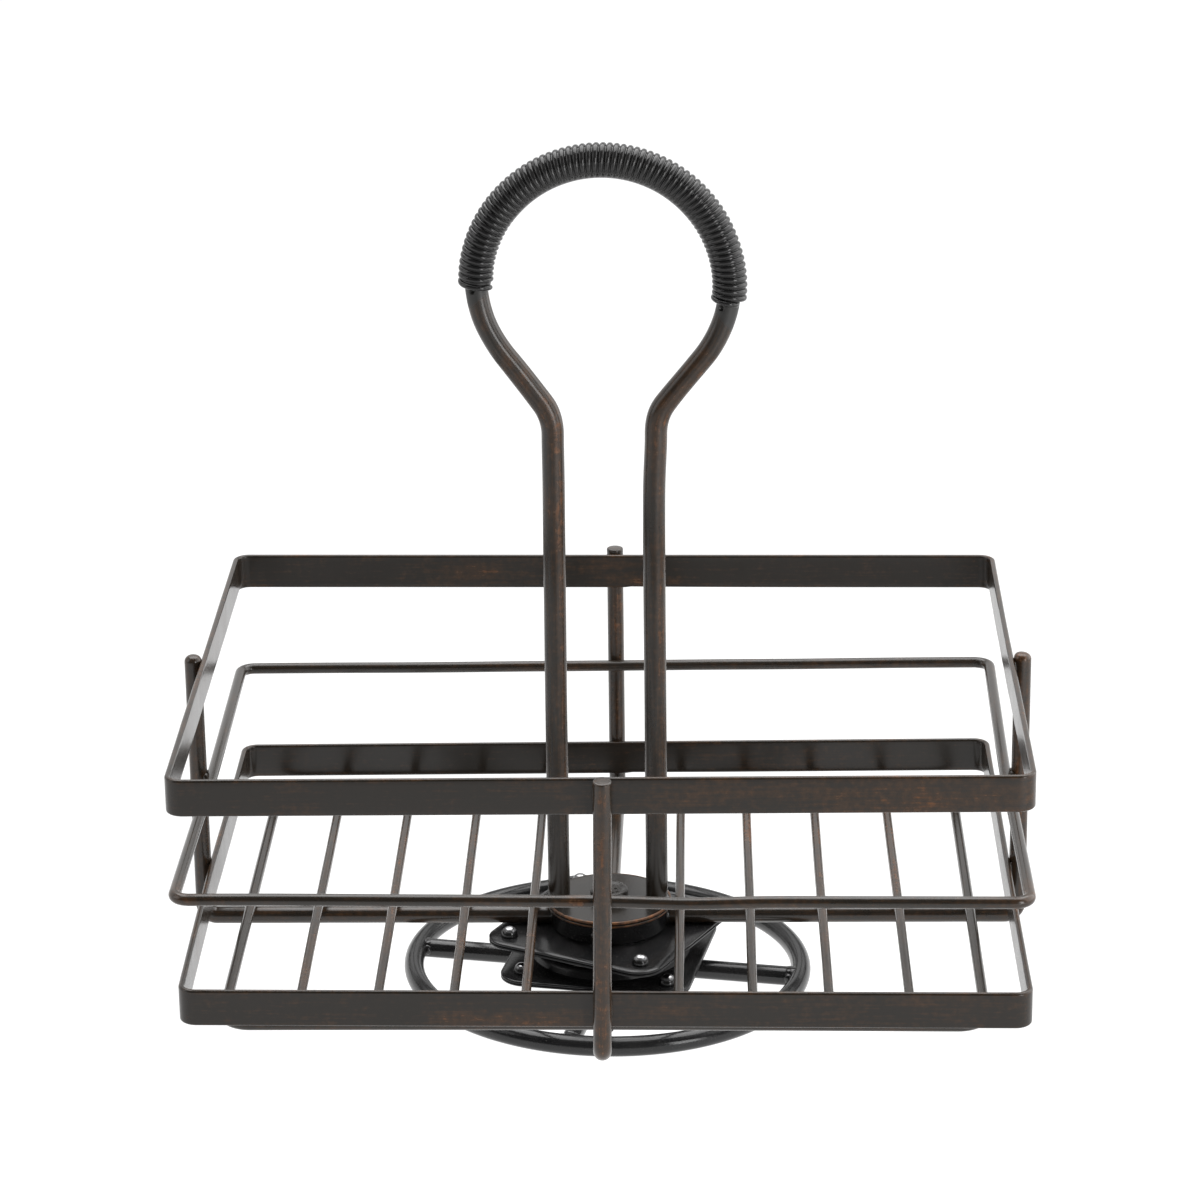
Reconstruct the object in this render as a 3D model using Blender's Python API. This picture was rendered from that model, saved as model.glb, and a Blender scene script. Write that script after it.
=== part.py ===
"""Rotating condiment caddy: a wire basket with a loop handle that turns on a ring base.

The basket's long side lies along X, its front faces -Y and +Z is up.
The origin is on the table, on the axis that the basket turns about. Lengths are in metres.
"""

import math

import bmesh
import bpy

# Fits
SEAT_GAP = 0.0003
RUNNING_GAP = 0.0003
CUT_OVERRUN = 0.002
MERGE_DISTANCE = 0.000001

# Standing base: a ring of round rod with a cross of two bars
BASE_ROD_DIAMETER = 0.007
BASE_RING_RADIUS = 0.0707
BASE_CROSS_TURN = math.radians(-10.8)

# Turntable bearing: square sheets with rounded corners and a pressed ball race
PLATE_SIDE = 0.070
PLATE_CORNER_RADIUS = 0.0095
SHEET_THICKNESS = 0.0009
UPPER_PLATE_TURN = math.radians(-27.0)
BALL_DIAMETER = 0.006
BALL_CIRCLE_RADIUS = 0.0225
BALL_COUNT = 12
RACE_FLOOR_RISE = 0.0007
RACE_FLOOR_SHARE = 0.67
RACE_LIP_SHARE = 1.4
RACE_LIP_WIDTH = 0.0012
RACE_WALL_RUN = 0.0021
RACE_LIP_GAP = 0.0012
RACE_BORE_RADIUS = 0.012
CAGE_THICKNESS = 0.0005
CAGE_HALF_WIDTH = 0.0046

# Rivets through the plate corners
RIVET_SHANK_DIAMETER = 0.003
RIVET_HEAD_RADIUS = 0.0031
RIVET_HEAD_HEIGHT = 0.0036
RIVET_TAIL_RADIUS = 0.0024
RIVET_TAIL_HEIGHT = 0.0012
RIVET_INSET = 0.008

# Pivot pin
PIN_DIAMETER = 0.006
PIN_HEAD_RADIUS = 0.0070
PIN_HEAD_HEIGHT = 0.0036
PIN_HEAD_ROUNDING = 0.0009
PIN_FOOT_RADIUS = 0.009
PIN_FOOT_THICKNESS = 0.0015
PIN_MARK_RADIUS = 0.0008
PIN_MARK_DEPTH = 0.0004

# Hub: a drum that the floor rods run to, under a disc that carries the handle
HUB_DRUM_REVEAL = 0.0009
HUB_DISC_THICKNESS = 0.0024
HUB_DISC_MARGIN = 0.0009
HUB_DISC_OVERHANG = 0.0017
HUB_DISC_ROUNDING = 0.0009

# Basket
BASKET_LENGTH = 0.292
BASKET_DEPTH = 0.230
TOP_BAND_TOP = 0.1235
BOTTOM_BAND_TOP = 0.0455
BAND_WIDTH = 0.013
BAND_THICKNESS = 0.002
BAND_INNER_CORNER_RADIUS = 0.004
BAND_EDGE_ROUNDING = 0.0003
RAIL_DIAMETER = 0.004
RAIL_LEVEL = 0.078
RAIL_CORNER_RADIUS = 0.0045
FLOOR_LOOP_DIAMETER = 0.0038
FLOOR_LOOP_CORNER_RADIUS = 0.010
FLOOR_LOOP_INSET = 0.0088
FLOOR_WIRE_DIAMETER = 0.0028
FLOOR_WIRE_PITCH = 0.0263
FLOOR_WIRES_EACH_SIDE = 4
UPRIGHT_DIAMETER = 0.006
UPRIGHT_BEND_RADIUS = 0.010
UPRIGHT_TIP_RISE = 0.0013
UPRIGHT_TIP_ROUNDING = 0.0012
UPRIGHT_TIP_SHARE = 0.65

# Handle and grip
HANDLE_ROD_DIAMETER = 0.008
LEG_OFFSET = 0.0179
LEG_BEND_RADIUS = 0.019
LOOP_RADIUS = 0.044
LOOP_CENTRE_LEVEL = 0.2622
NECK_ANGLE = math.radians(38.0)
GRIP_WIRE_DIAMETER = 0.0019
GRIP_RIDGE_DEPTH = 0.0007
GRIP_COLLAR_DEPTH = 0.0002
GRIP_TURNS = 68
GRIP_LEFT_DROP = math.radians(2.0)
GRIP_RIGHT_DROP = math.radians(9.0)

# Facets
RING_STEPS = 48
RING_SECTION_SIDES = 8
TURNED_STEPS = 40
PIN_STEPS = 24
RIVET_STEPS = 8
BALL_SEGMENTS = 8
BALL_RINGS = 6
HOLE_SIDES = 12
CORNER_STEPS = 5
PLATE_CORNER_STEPS = 4
PLATE_SIDE_STEPS = 6
BEND_STEPS = 6
LOOP_STEPS = 42
BORE_STEPS = 32
GRIP_SIDES = 8
ROD_BEVEL_RESOLUTION = 2
SHARP_ANGLE = math.radians(40.0)

# Finishes
BRONZE_COLOUR = (0.032, 0.024, 0.020, 1.0)
RUBBED_BRONZE_COLOUR = (0.062, 0.036, 0.026, 1.0)
BLACK_COLOUR = (0.014, 0.014, 0.015, 1.0)
GRIP_COLOUR = (0.017, 0.016, 0.016, 1.0)
STEEL_COLOUR = (0.35, 0.35, 0.36, 1.0)
BRONZE_ROUGHNESS = 0.42
BRONZE_METALLIC = 0.75
BLACK_ROUGHNESS = 0.30
BLACK_METALLIC = 0.40
GRIP_ROUGHNESS = 0.48
GRIP_METALLIC = 0.30
STEEL_ROUGHNESS = 0.22
STEEL_METALLIC = 1.0

# Heights of the base and bearing, from the table up
BASE_TOP = BASE_ROD_DIAMETER
BASE_PLATE_LEVEL = BASE_TOP + SEAT_GAP
LOWER_SHEET_LEVEL = BASE_PLATE_LEVEL + SHEET_THICKNESS + SEAT_GAP
LOWER_SHEET_TOP = LOWER_SHEET_LEVEL + SHEET_THICKNESS
BALL_LEVEL = LOWER_SHEET_TOP + RACE_FLOOR_RISE + RUNNING_GAP + BALL_DIAMETER / 2
UPPER_SHEET_LEVEL = 2 * BALL_LEVEL - LOWER_SHEET_TOP
CARRIER_PLATE_LEVEL = UPPER_SHEET_LEVEL + SHEET_THICKNESS + SEAT_GAP
CARRIER_PLATE_TOP = CARRIER_PLATE_LEVEL + SHEET_THICKNESS
RACE_LIP_RISE = BALL_LEVEL - LOWER_SHEET_TOP - RACE_LIP_GAP / 2

# Heights of the hub and the basket floor
FLOOR_ROD_LEVEL = CARRIER_PLATE_TOP + SEAT_GAP + UPRIGHT_DIAMETER / 2
HUB_DRUM_LEVEL = CARRIER_PLATE_TOP + SEAT_GAP
HUB_DRUM_HEIGHT = UPRIGHT_DIAMETER + HUB_DRUM_REVEAL
HUB_DISC_LEVEL = HUB_DRUM_LEVEL + HUB_DRUM_HEIGHT + SEAT_GAP
HUB_DISC_TOP = HUB_DISC_LEVEL + HUB_DISC_THICKNESS
FLOOR_LOOP_LEVEL = FLOOR_ROD_LEVEL + UPRIGHT_DIAMETER / 2 + SEAT_GAP + FLOOR_LOOP_DIAMETER / 2
FLOOR_WIRE_LEVEL = FLOOR_LOOP_LEVEL + FLOOR_LOOP_DIAMETER / 2 + SEAT_GAP + FLOOR_WIRE_DIAMETER / 2

# Radii and distances that follow
HUB_DISC_RADIUS = LEG_OFFSET + HANDLE_ROD_DIAMETER / 2 + HUB_DISC_MARGIN
HUB_DRUM_RADIUS = HUB_DISC_RADIUS - HUB_DISC_OVERHANG
PIN_BORE_RADIUS = PIN_DIAMETER / 2 + RUNNING_GAP
RIVET_PLACE = PLATE_SIDE / 2 - RIVET_INSET
RIVET_GRIP = 2 * SHEET_THICKNESS + 3 * SEAT_GAP
RACE_FLOOR_REACH = RACE_FLOOR_SHARE * BALL_DIAMETER / 2
RACE_LIP_REACH = RACE_LIP_SHARE * BALL_DIAMETER / 2
UPRIGHT_STANDOFF = SEAT_GAP + UPRIGHT_DIAMETER / 2
FLOOR_LOOP_HALF_LENGTH = (FLOOR_WIRES_EACH_SIDE + 1) * FLOOR_WIRE_PITCH
FLOOR_LOOP_HALF_DEPTH = BASKET_DEPTH / 2 - BAND_THICKNESS - FLOOR_LOOP_INSET


def clear_scene():
    """Remove whatever objects the scene starts with."""
    for item in list(bpy.data.objects):
        bpy.data.objects.remove(item, do_unlink=True)


def finish(name, colour, roughness, metallic):
    """A plain Principled material."""
    material = bpy.data.materials.new(name)
    material.use_nodes = True
    shader = material.node_tree.nodes["Principled BSDF"]
    shader.inputs["Base Color"].default_value = colour
    shader.inputs["Roughness"].default_value = roughness
    shader.inputs["Metallic"].default_value = metallic
    return material


def bronze_finish(name):
    """Dark oil-rubbed bronze of the basket wires."""
    return finish(name + "_bronze", BRONZE_COLOUR, BRONZE_ROUGHNESS, BRONZE_METALLIC)


def rubbed_bronze_finish(name):
    """Bronze with the copper tone rubbed through, on the bands and uprights."""
    return finish(
        name + "_rubbed_bronze", RUBBED_BRONZE_COLOUR, BRONZE_ROUGHNESS, BRONZE_METALLIC)


def black_finish(name):
    """Glossy black of the base and the bearing plates."""
    return finish(name + "_black", BLACK_COLOUR, BLACK_ROUGHNESS, BLACK_METALLIC)


def grip_finish(name):
    """Satin black of the wound grip."""
    return finish(name + "_satin_black", GRIP_COLOUR, GRIP_ROUGHNESS, GRIP_METALLIC)


def bright_steel_finish(name):
    """Bare steel of the rivets, pin and balls."""
    return finish(name + "_bright_steel", STEEL_COLOUR, STEEL_ROUGHNESS, STEEL_METALLIC)


def pivot(name):
    """An empty on the axis of rotation, which carries the pieces of one moving group."""
    empty = bpy.data.objects.new(name, None)
    bpy.context.collection.objects.link(empty)
    return empty


def place(item, parent, location=(0, 0, 0), turn=0):
    """Link an object under its parent, at its location and turned about its own Z axis."""
    bpy.context.collection.objects.link(item)
    item.parent = parent
    item.location = location
    item.rotation_euler = (0, 0, turn)
    return item


def solid(name, shape, material):
    """An object from a closed bmesh, its faces pointing out and its round sides smooth."""
    bmesh.ops.recalc_face_normals(shape, faces=shape.faces)
    mesh = bpy.data.meshes.new(name)
    shape.to_mesh(mesh)
    shape.free()
    mesh.shade_smooth()
    mesh.set_sharp_from_angle(angle=SHARP_ANGLE)
    mesh.materials.append(material)
    return bpy.data.objects.new(name, mesh)


def loft(rings):
    """A closed band of faces through rings of points, the last ring joined to the first."""
    shape = bmesh.new()
    loops = [[shape.verts.new(point) for point in ring] for ring in rings]
    for near, far in zip(loops, loops[1:] + loops[:1]):
        for here in range(len(near)):
            after = (here + 1) % len(near)
            shape.faces.new((near[here], near[after], far[after], far[here]))
    return shape


def turned(profile, steps, closed):
    """A profile of radius and height turned about Z. A closed one is a ring with a bore."""
    shape = bmesh.new()
    points = [shape.verts.new((radius, 0, height)) for radius, height in profile]
    edges = [shape.edges.new(pair) for pair in zip(points, points[1:])]
    if closed:
        edges.append(shape.edges.new((points[-1], points[0])))
    bmesh.ops.spin(
        shape, geom=points + edges, cent=(0, 0, 0), axis=(0, 0, 1),
        angle=2 * math.pi, steps=steps, use_merge=True)
    bmesh.ops.remove_doubles(shape, verts=shape.verts, dist=MERGE_DISTANCE)
    return shape


def drill_places(item, name, places, radius, height):
    """Cut upright holes through an object with one hidden cutter."""
    shape = bmesh.new()
    for across, along in places:
        drill = bmesh.ops.create_cone(
            shape, cap_ends=True, segments=HOLE_SIDES,
            radius1=radius, radius2=radius, depth=height + 2 * CUT_OVERRUN)
        bmesh.ops.translate(shape, verts=drill["verts"], vec=(across, along, height / 2))
    mesh = bpy.data.meshes.new(name)
    shape.to_mesh(mesh)
    shape.free()
    cutter = bpy.data.objects.new(name, mesh)
    bpy.context.collection.objects.link(cutter)
    cutter.parent = item
    cutter.hide_render = True
    cutter.display_type = "WIRE"
    cut = item.modifiers.new("holes", "BOOLEAN")
    cut.operation = "DIFFERENCE"
    cut.solver = "EXACT"
    cut.object = cutter


def arc(centre, radius, start, end, steps):
    """Points on an arc in a plane, both ends included."""
    angles = [start + (end - start) * step / steps for step in range(steps + 1)]
    return [(centre[0] + radius * math.cos(a), centre[1] + radius * math.sin(a)) for a in angles]


def rounded_rectangle(half_length, half_depth, radius):
    """Outline of a rectangle whose corners are arcs."""
    across = half_length - radius
    along = half_depth - radius
    quarter = math.pi / 2
    points = []
    for number, (side, end) in enumerate(((1, 1), (-1, 1), (-1, -1), (1, -1))):
        start = number * quarter
        points += arc((side * across, end * along), radius, start, start + quarter, CORNER_STEPS)
    return points


def at_height(outline, height):
    """Lift a plane outline to a height."""
    return [(across, along, height) for across, along in outline]


def outside_corners(radius, sides):
    """Corner radius of a polygon whose flats, not its corners, lie at the given radius."""
    return radius / math.cos(math.pi / sides)


def rod(name, route, diameter, material, closed=False):
    """A round rod along a route of points, as a bevelled curve with filled ends."""
    curve = bpy.data.curves.new(name, "CURVE")
    curve.dimensions = "3D"
    curve.bevel_depth = diameter / 2
    curve.bevel_resolution = ROD_BEVEL_RESOLUTION
    curve.use_fill_caps = not closed
    spline = curve.splines.new("POLY")
    spline.points.add(len(route) - 1)
    for point, spot in zip(spline.points, route):
        point.co = (*spot, 1)
    spline.use_cyclic_u = closed
    curve.materials.append(material)
    return bpy.data.objects.new(name, curve)


def base_section():
    """Octagon of the base rod, with a flat side down and the true height between its flats."""
    corner = outside_corners(BASE_ROD_DIAMETER / 2, RING_SECTION_SIDES)
    half_side = math.pi / RING_SECTION_SIDES
    turn = 2 * half_side
    angles = [half_side + turn * side for side in range(RING_SECTION_SIDES)]
    return [(corner * math.cos(a), BASE_TOP / 2 + corner * math.sin(a)) for a in angles]


def base_ring(parent):
    """The round rod ring that stands on the table."""
    profile = [(BASE_RING_RADIUS + out, height) for out, height in base_section()]
    shape = turned(profile, RING_STEPS, closed=True)
    place(solid("base_ring", shape, black_finish("base_ring")), parent)


def base_bar(name, start, end, turn, parent):
    """A straight bar of the base cross, from one distance to another along a turned X axis."""
    shape = bmesh.new()
    loops = []
    for distance in (start, end):
        loops.append([shape.verts.new((distance, out, height)) for out, height in base_section()])
    for here in range(RING_SECTION_SIDES):
        after = (here + 1) % RING_SECTION_SIDES
        shape.faces.new((loops[0][here], loops[0][after], loops[1][after], loops[1][here]))
    shape.faces.new(loops[0])
    shape.faces.new(loops[1])
    place(solid(name, shape, black_finish(name)), parent, turn=turn)


def base_cross(parent):
    """One bar right across the ring, and two half bars that butt against it."""
    reach = BASE_RING_RADIUS - BASE_ROD_DIAMETER / 2 - SEAT_GAP
    butt = BASE_ROD_DIAMETER / 2 + SEAT_GAP
    quarter = math.pi / 2
    base_bar("base_bar_long", -reach, reach, BASE_CROSS_TURN, parent)
    base_bar("base_bar_back", butt, reach, BASE_CROSS_TURN + quarter, parent)
    base_bar("base_bar_front", butt, reach, BASE_CROSS_TURN - quarter, parent)


def plate_outline():
    """Points round a square plate with rounded corners, close together at the corners."""
    centre = PLATE_SIDE / 2 - PLATE_CORNER_RADIUS
    first = math.atan2(centre, PLATE_SIDE / 2)
    quarter = math.pi / 2
    points = []
    for number, (side, end) in enumerate(((1, 1), (-1, 1), (-1, -1), (1, -1))):
        start = number * quarter
        corner = (side * centre, end * centre)
        points += arc(corner, PLATE_CORNER_RADIUS, start, start + quarter, PLATE_CORNER_STEPS)
        for step in range(1, PLATE_SIDE_STEPS):
            sweep = -first + 2 * first * step / PLATE_SIDE_STEPS
            direction = start + quarter + sweep
            distance = PLATE_SIDE / 2 / math.cos(sweep)
            points.append((distance * math.cos(direction), distance * math.sin(direction)))
    return points


def matching_circle(radius):
    """A circle with one point on the same bearing as each point of the plate's outline."""
    bearings = [math.atan2(along, across) for across, along in plate_outline()]
    return [(radius * math.cos(a), radius * math.sin(a)) for a in bearings]


def plate_with_rivet_holes(name, rings, height):
    """A plate from its rings of points, with a hole for a rivet near each corner."""
    plate = solid(name, loft(rings), black_finish(name))
    signs = ((1, 1), (-1, 1), (-1, -1), (1, -1))
    places = [(side * RIVET_PLACE, end * RIVET_PLACE) for side, end in signs]
    radius = outside_corners(RIVET_SHANK_DIAMETER / 2 + SEAT_GAP, HOLE_SIDES)
    drill_places(plate, name + "_drill", places, radius, height)
    return plate


def mounting_plate(name, bore_radius):
    """Flat square plate with a round hole at its centre."""
    outer = plate_outline()
    inner = matching_circle(bore_radius)
    rings = [
        at_height(outer, 0),
        at_height(outer, SHEET_THICKNESS),
        at_height(inner, SHEET_THICKNESS),
        at_height(inner, 0)]
    return plate_with_rivet_holes(name, rings, SHEET_THICKNESS)


def bearing_sheet(name, rise):
    """Square sheet pressed into a ring-shaped ball race. Rise is +1 or -1, up or down."""
    outer_side = [
        (RACE_LIP_REACH + RACE_LIP_WIDTH + RACE_WALL_RUN, 0),
        (RACE_LIP_REACH + RACE_LIP_WIDTH, RACE_LIP_RISE),
        (RACE_LIP_REACH, RACE_LIP_RISE),
        (RACE_FLOOR_REACH, RACE_FLOOR_RISE)]
    section = [(BALL_CIRCLE_RADIUS + away, height) for away, height in outer_side]
    section += [(BALL_CIRCLE_RADIUS - away, height) for away, height in outer_side[::-1]]
    section.append((RACE_BORE_RADIUS, 0))
    upper = [at_height(plate_outline(), SHEET_THICKNESS)]
    lower = [at_height(plate_outline(), 0)]
    for radius, height in section:
        upper.append(at_height(matching_circle(radius), SHEET_THICKNESS + rise * height))
        lower.append(at_height(matching_circle(radius), rise * height))
    return plate_with_rivet_holes(name, upper + lower[::-1], SHEET_THICKNESS)


def rivets(prefix, level, turn, parent):
    """Four domed rivets whose heads stand on the plate and whose tails lie under the sheet."""
    shank = RIVET_SHANK_DIAMETER / 2
    foot = -RIVET_GRIP - RIVET_TAIL_HEIGHT
    dome = [
        (RIVET_HEAD_RADIUS * math.cos(a), RIVET_HEAD_HEIGHT * math.sin(a))
        for a in (0, math.pi / 6, math.pi / 3)]
    profile = [
        (0, RIVET_HEAD_HEIGHT), *dome[::-1], (shank, 0), (shank, -RIVET_GRIP),
        (RIVET_TAIL_RADIUS, -RIVET_GRIP), (RIVET_TAIL_RADIUS, foot), (0, foot)]
    distance = RIVET_PLACE * math.sqrt(2)
    for number in range(4):
        name = f"{prefix}_rivet_{number + 1}"
        shape = turned(profile, RIVET_STEPS, closed=False)
        bearing = turn + math.pi / 4 + number * math.pi / 2
        spot = (distance * math.cos(bearing), distance * math.sin(bearing), level + SEAT_GAP)
        place(solid(name, shape, bright_steel_finish(name)), parent, spot)


def pivot_pin(parent):
    """Pin that holds the hub down: a foot on the base plate and a round head over the disc."""
    base = BASE_PLATE_LEVEL + SHEET_THICKNESS + SEAT_GAP
    shank = PIN_DIAMETER / 2
    neck = HUB_DISC_TOP + RUNNING_GAP - base
    top = neck + PIN_HEAD_HEIGHT
    profile = [
        (0, top - PIN_MARK_DEPTH),
        (PIN_MARK_RADIUS, top),
        (PIN_HEAD_RADIUS - PIN_HEAD_ROUNDING, top),
        (PIN_HEAD_RADIUS, top - PIN_HEAD_ROUNDING),
        (PIN_HEAD_RADIUS, neck),
        (shank, neck),
        (shank, PIN_FOOT_THICKNESS),
        (PIN_FOOT_RADIUS, PIN_FOOT_THICKNESS),
        (PIN_FOOT_RADIUS, 0),
        (0, 0)]
    shape = turned(profile, PIN_STEPS, closed=False)
    place(solid("pivot_pin", shape, bronze_finish("pivot_pin")), parent, (0, 0, base))


def ball_bearings():
    """Bearing on each ball's place round the race."""
    return [2 * math.pi * number / BALL_COUNT for number in range(BALL_COUNT)]


def balls(parent):
    """The steel balls, each its own object on the ball circle."""
    for number, bearing in enumerate(ball_bearings(), start=1):
        name = f"ball_{number:02d}"
        shape = bmesh.new()
        bmesh.ops.create_uvsphere(
            shape, u_segments=BALL_SEGMENTS, v_segments=BALL_RINGS, radius=BALL_DIAMETER / 2)
        across = BALL_CIRCLE_RADIUS * math.cos(bearing)
        along = BALL_CIRCLE_RADIUS * math.sin(bearing)
        ball = solid(name, shape, bright_steel_finish(name))
        place(ball, parent, (across, along, BALL_LEVEL))


def ball_cage(parent):
    """Thin flat ring with a hole round each ball."""
    inner = BALL_CIRCLE_RADIUS - CAGE_HALF_WIDTH
    outer = BALL_CIRCLE_RADIUS + CAGE_HALF_WIDTH
    profile = [(outer, 0), (outer, CAGE_THICKNESS), (inner, CAGE_THICKNESS), (inner, 0)]
    shape = turned(profile, TURNED_STEPS, closed=True)
    cage = solid("ball_cage", shape, bright_steel_finish("ball_cage"))
    place(cage, parent, (0, 0, BALL_LEVEL - CAGE_THICKNESS / 2))
    radius = outside_corners(BALL_DIAMETER / 2 + RUNNING_GAP, HOLE_SIDES)
    places = [
        (BALL_CIRCLE_RADIUS * math.cos(a), BALL_CIRCLE_RADIUS * math.sin(a))
        for a in ball_bearings()]
    drill_places(cage, "ball_cage_drill", places, radius, CAGE_THICKNESS)


def base_plates(parent):
    """Mounting plate and bearing sheet that stay with the base."""
    lower = mounting_plate("base_mounting_plate", PIN_BORE_RADIUS)
    place(lower, parent, (0, 0, BASE_PLATE_LEVEL), BASE_CROSS_TURN)
    sheet = bearing_sheet("bearing_lower_sheet", 1)
    place(sheet, parent, (0, 0, LOWER_SHEET_LEVEL), BASE_CROSS_TURN)
    rivets("lower", LOWER_SHEET_TOP, BASE_CROSS_TURN, parent)


def carrier_plates(parent):
    """Bearing sheet and mounting plate that turn with the hub."""
    sheet = bearing_sheet("bearing_upper_sheet", -1)
    place(sheet, parent, (0, 0, UPPER_SHEET_LEVEL), UPPER_PLATE_TURN)
    upper = mounting_plate("carrier_mounting_plate", PIN_BORE_RADIUS)
    place(upper, parent, (0, 0, CARRIER_PLATE_LEVEL), UPPER_PLATE_TURN)
    rivets("upper", CARRIER_PLATE_TOP, UPPER_PLATE_TURN, parent)


def hub_drum(parent):
    """Round block between the four floor rods."""
    profile = [
        (HUB_DRUM_RADIUS, 0),
        (HUB_DRUM_RADIUS, HUB_DRUM_HEIGHT),
        (PIN_BORE_RADIUS, HUB_DRUM_HEIGHT),
        (PIN_BORE_RADIUS, 0)]
    shape = turned(profile, TURNED_STEPS, closed=True)
    drum = solid("hub_drum", shape, black_finish("hub_drum"))
    place(drum, parent, (0, 0, HUB_DRUM_LEVEL))


def hub_disc(parent):
    """Round plate with a rounded rim, which carries the two legs of the handle."""
    rounding = HUB_DISC_ROUNDING
    shoulder = (HUB_DISC_RADIUS - rounding, HUB_DISC_THICKNESS - rounding)
    profile = [
        (PIN_BORE_RADIUS, 0),
        (HUB_DISC_RADIUS, 0),
        *arc(shoulder, rounding, 0, math.pi / 2, 3),
        (PIN_BORE_RADIUS, HUB_DISC_THICKNESS)]
    shape = turned(profile, TURNED_STEPS, closed=True)
    disc = solid("hub_disc", shape, rubbed_bronze_finish("hub_disc"))
    place(disc, parent, (0, 0, HUB_DISC_LEVEL))


def upright(name, distance, turn, parent):
    """Rod that stands outside the bands and bends under the floor to the hub."""
    tip = TOP_BAND_TOP + UPRIGHT_TIP_RISE
    under_band = BOTTOM_BAND_TOP - BAND_WIDTH - FLOOR_ROD_LEVEL
    bend = min(UPRIGHT_BEND_RADIUS, under_band)
    side = distance + UPRIGHT_STANDOFF
    route = [(side, tip), (side, tip - UPRIGHT_TIP_ROUNDING)]
    route += arc((side - bend, FLOOR_ROD_LEVEL + bend), bend, 0, -math.pi / 2, BEND_STEPS)
    route.append((HUB_DRUM_RADIUS + SEAT_GAP, FLOOR_ROD_LEVEL))
    points = [(across, 0, height) for across, height in route]
    item = rod(name, points, UPRIGHT_DIAMETER, rubbed_bronze_finish(name))
    item.data.splines[0].points[0].radius = UPRIGHT_TIP_SHARE
    place(item, parent, turn=turn)


def uprights(parent):
    """One upright in the middle of each side."""
    quarter = math.pi / 2
    upright("upright_right", BASKET_LENGTH / 2, 0, parent)
    upright("upright_back", BASKET_DEPTH / 2, quarter, parent)
    upright("upright_left", BASKET_LENGTH / 2, 2 * quarter, parent)
    upright("upright_front", BASKET_DEPTH / 2, -quarter, parent)


def band(name, top, parent):
    """Flat strip on edge, bent to a rectangle with rounded corners."""
    outer = rounded_rectangle(
        BASKET_LENGTH / 2, BASKET_DEPTH / 2, BAND_INNER_CORNER_RADIUS + BAND_THICKNESS)
    inner = rounded_rectangle(
        BASKET_LENGTH / 2 - BAND_THICKNESS, BASKET_DEPTH / 2 - BAND_THICKNESS,
        BAND_INNER_CORNER_RADIUS)
    shape = loft([
        at_height(outer, 0),
        at_height(outer, BAND_WIDTH),
        at_height(inner, BAND_WIDTH),
        at_height(inner, 0)])
    item = solid(name, shape, rubbed_bronze_finish(name))
    edge = item.modifiers.new("edges", "BEVEL")
    edge.width = BAND_EDGE_ROUNDING
    edge.segments = 1
    edge.limit_method = "ANGLE"
    place(item, parent, (0, 0, top - BAND_WIDTH))


def wire_loop(name, half_length, half_depth, corner, diameter, level, parent):
    """Round wire bent to a rectangle with rounded corners, its sizes taken to the wire's axis."""
    route = at_height(rounded_rectangle(half_length, half_depth, corner), 0)
    item = rod(name, route, diameter, bronze_finish(name), closed=True)
    place(item, parent, (0, 0, level))


def basket_loops(parent):
    """The middle rail and the floor loop."""
    inset = RAIL_DIAMETER / 2
    wire_loop(
        "middle_rail", BASKET_LENGTH / 2 - inset, BASKET_DEPTH / 2 - inset,
        RAIL_CORNER_RADIUS, RAIL_DIAMETER, RAIL_LEVEL, parent)
    wire_loop(
        "floor_loop", FLOOR_LOOP_HALF_LENGTH, FLOOR_LOOP_HALF_DEPTH,
        FLOOR_LOOP_CORNER_RADIUS, FLOOR_LOOP_DIAMETER, FLOOR_LOOP_LEVEL, parent)


def floor_wires(parent):
    """Straight wires from front to back on top of the floor loop, none in the middle."""
    reach = FLOOR_LOOP_HALF_DEPTH + FLOOR_LOOP_DIAMETER / 2
    steps = range(-FLOOR_WIRES_EACH_SIDE, FLOOR_WIRES_EACH_SIDE + 1)
    places = [step * FLOOR_WIRE_PITCH for step in steps if step]
    for number, across in enumerate(places, start=1):
        name = f"floor_wire_{number}"
        route = [(0, -reach, 0), (0, reach, 0)]
        item = rod(name, route, FLOOR_WIRE_DIAMETER, bronze_finish(name))
        place(item, parent, (across, 0, FLOOR_WIRE_LEVEL))


def handle_route():
    """Up the right leg, out along the neck, round the loop and down the left side."""
    touch = LOOP_RADIUS * math.cos(NECK_ANGLE)
    touch_level = LOOP_CENTRE_LEVEL - LOOP_RADIUS * math.sin(NECK_ANGLE)
    corner_level = touch_level - (touch - LEG_OFFSET) / math.tan(NECK_ANGLE)
    bend_level = corner_level - LEG_BEND_RADIUS * math.tan(NECK_ANGLE / 2)
    bend_centre = (LEG_OFFSET + LEG_BEND_RADIUS, bend_level)
    right = [(LEG_OFFSET, HUB_DISC_TOP + SEAT_GAP)]
    right += arc(bend_centre, LEG_BEND_RADIUS, math.pi, math.pi - NECK_ANGLE, BEND_STEPS)
    loop = arc(
        (0, LOOP_CENTRE_LEVEL), LOOP_RADIUS, -NECK_ANGLE, math.pi + NECK_ANGLE, LOOP_STEPS)
    left = [(-across, height) for across, height in reversed(right)]
    return [(across, 0, height) for across, height in right + loop + left]


def handle_rod(parent):
    """One rod: two legs on the hub disc, joined by a round loop."""
    item = rod("handle_rod", handle_route(), HANDLE_ROD_DIAMETER, bronze_finish("handle_rod"))
    place(item, parent)


def grip_point(share, radius, side):
    """Point on the grip: a share of the way round the loop, at a radius and a side."""
    start = math.pi + GRIP_LEFT_DROP
    end = -GRIP_RIGHT_DROP
    bearing = start + (end - start) * share
    around = 2 * math.pi * side / GRIP_SIDES
    distance = LOOP_RADIUS + radius * math.cos(around)
    return (distance * math.cos(bearing), radius * math.sin(around), distance * math.sin(bearing))


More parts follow.
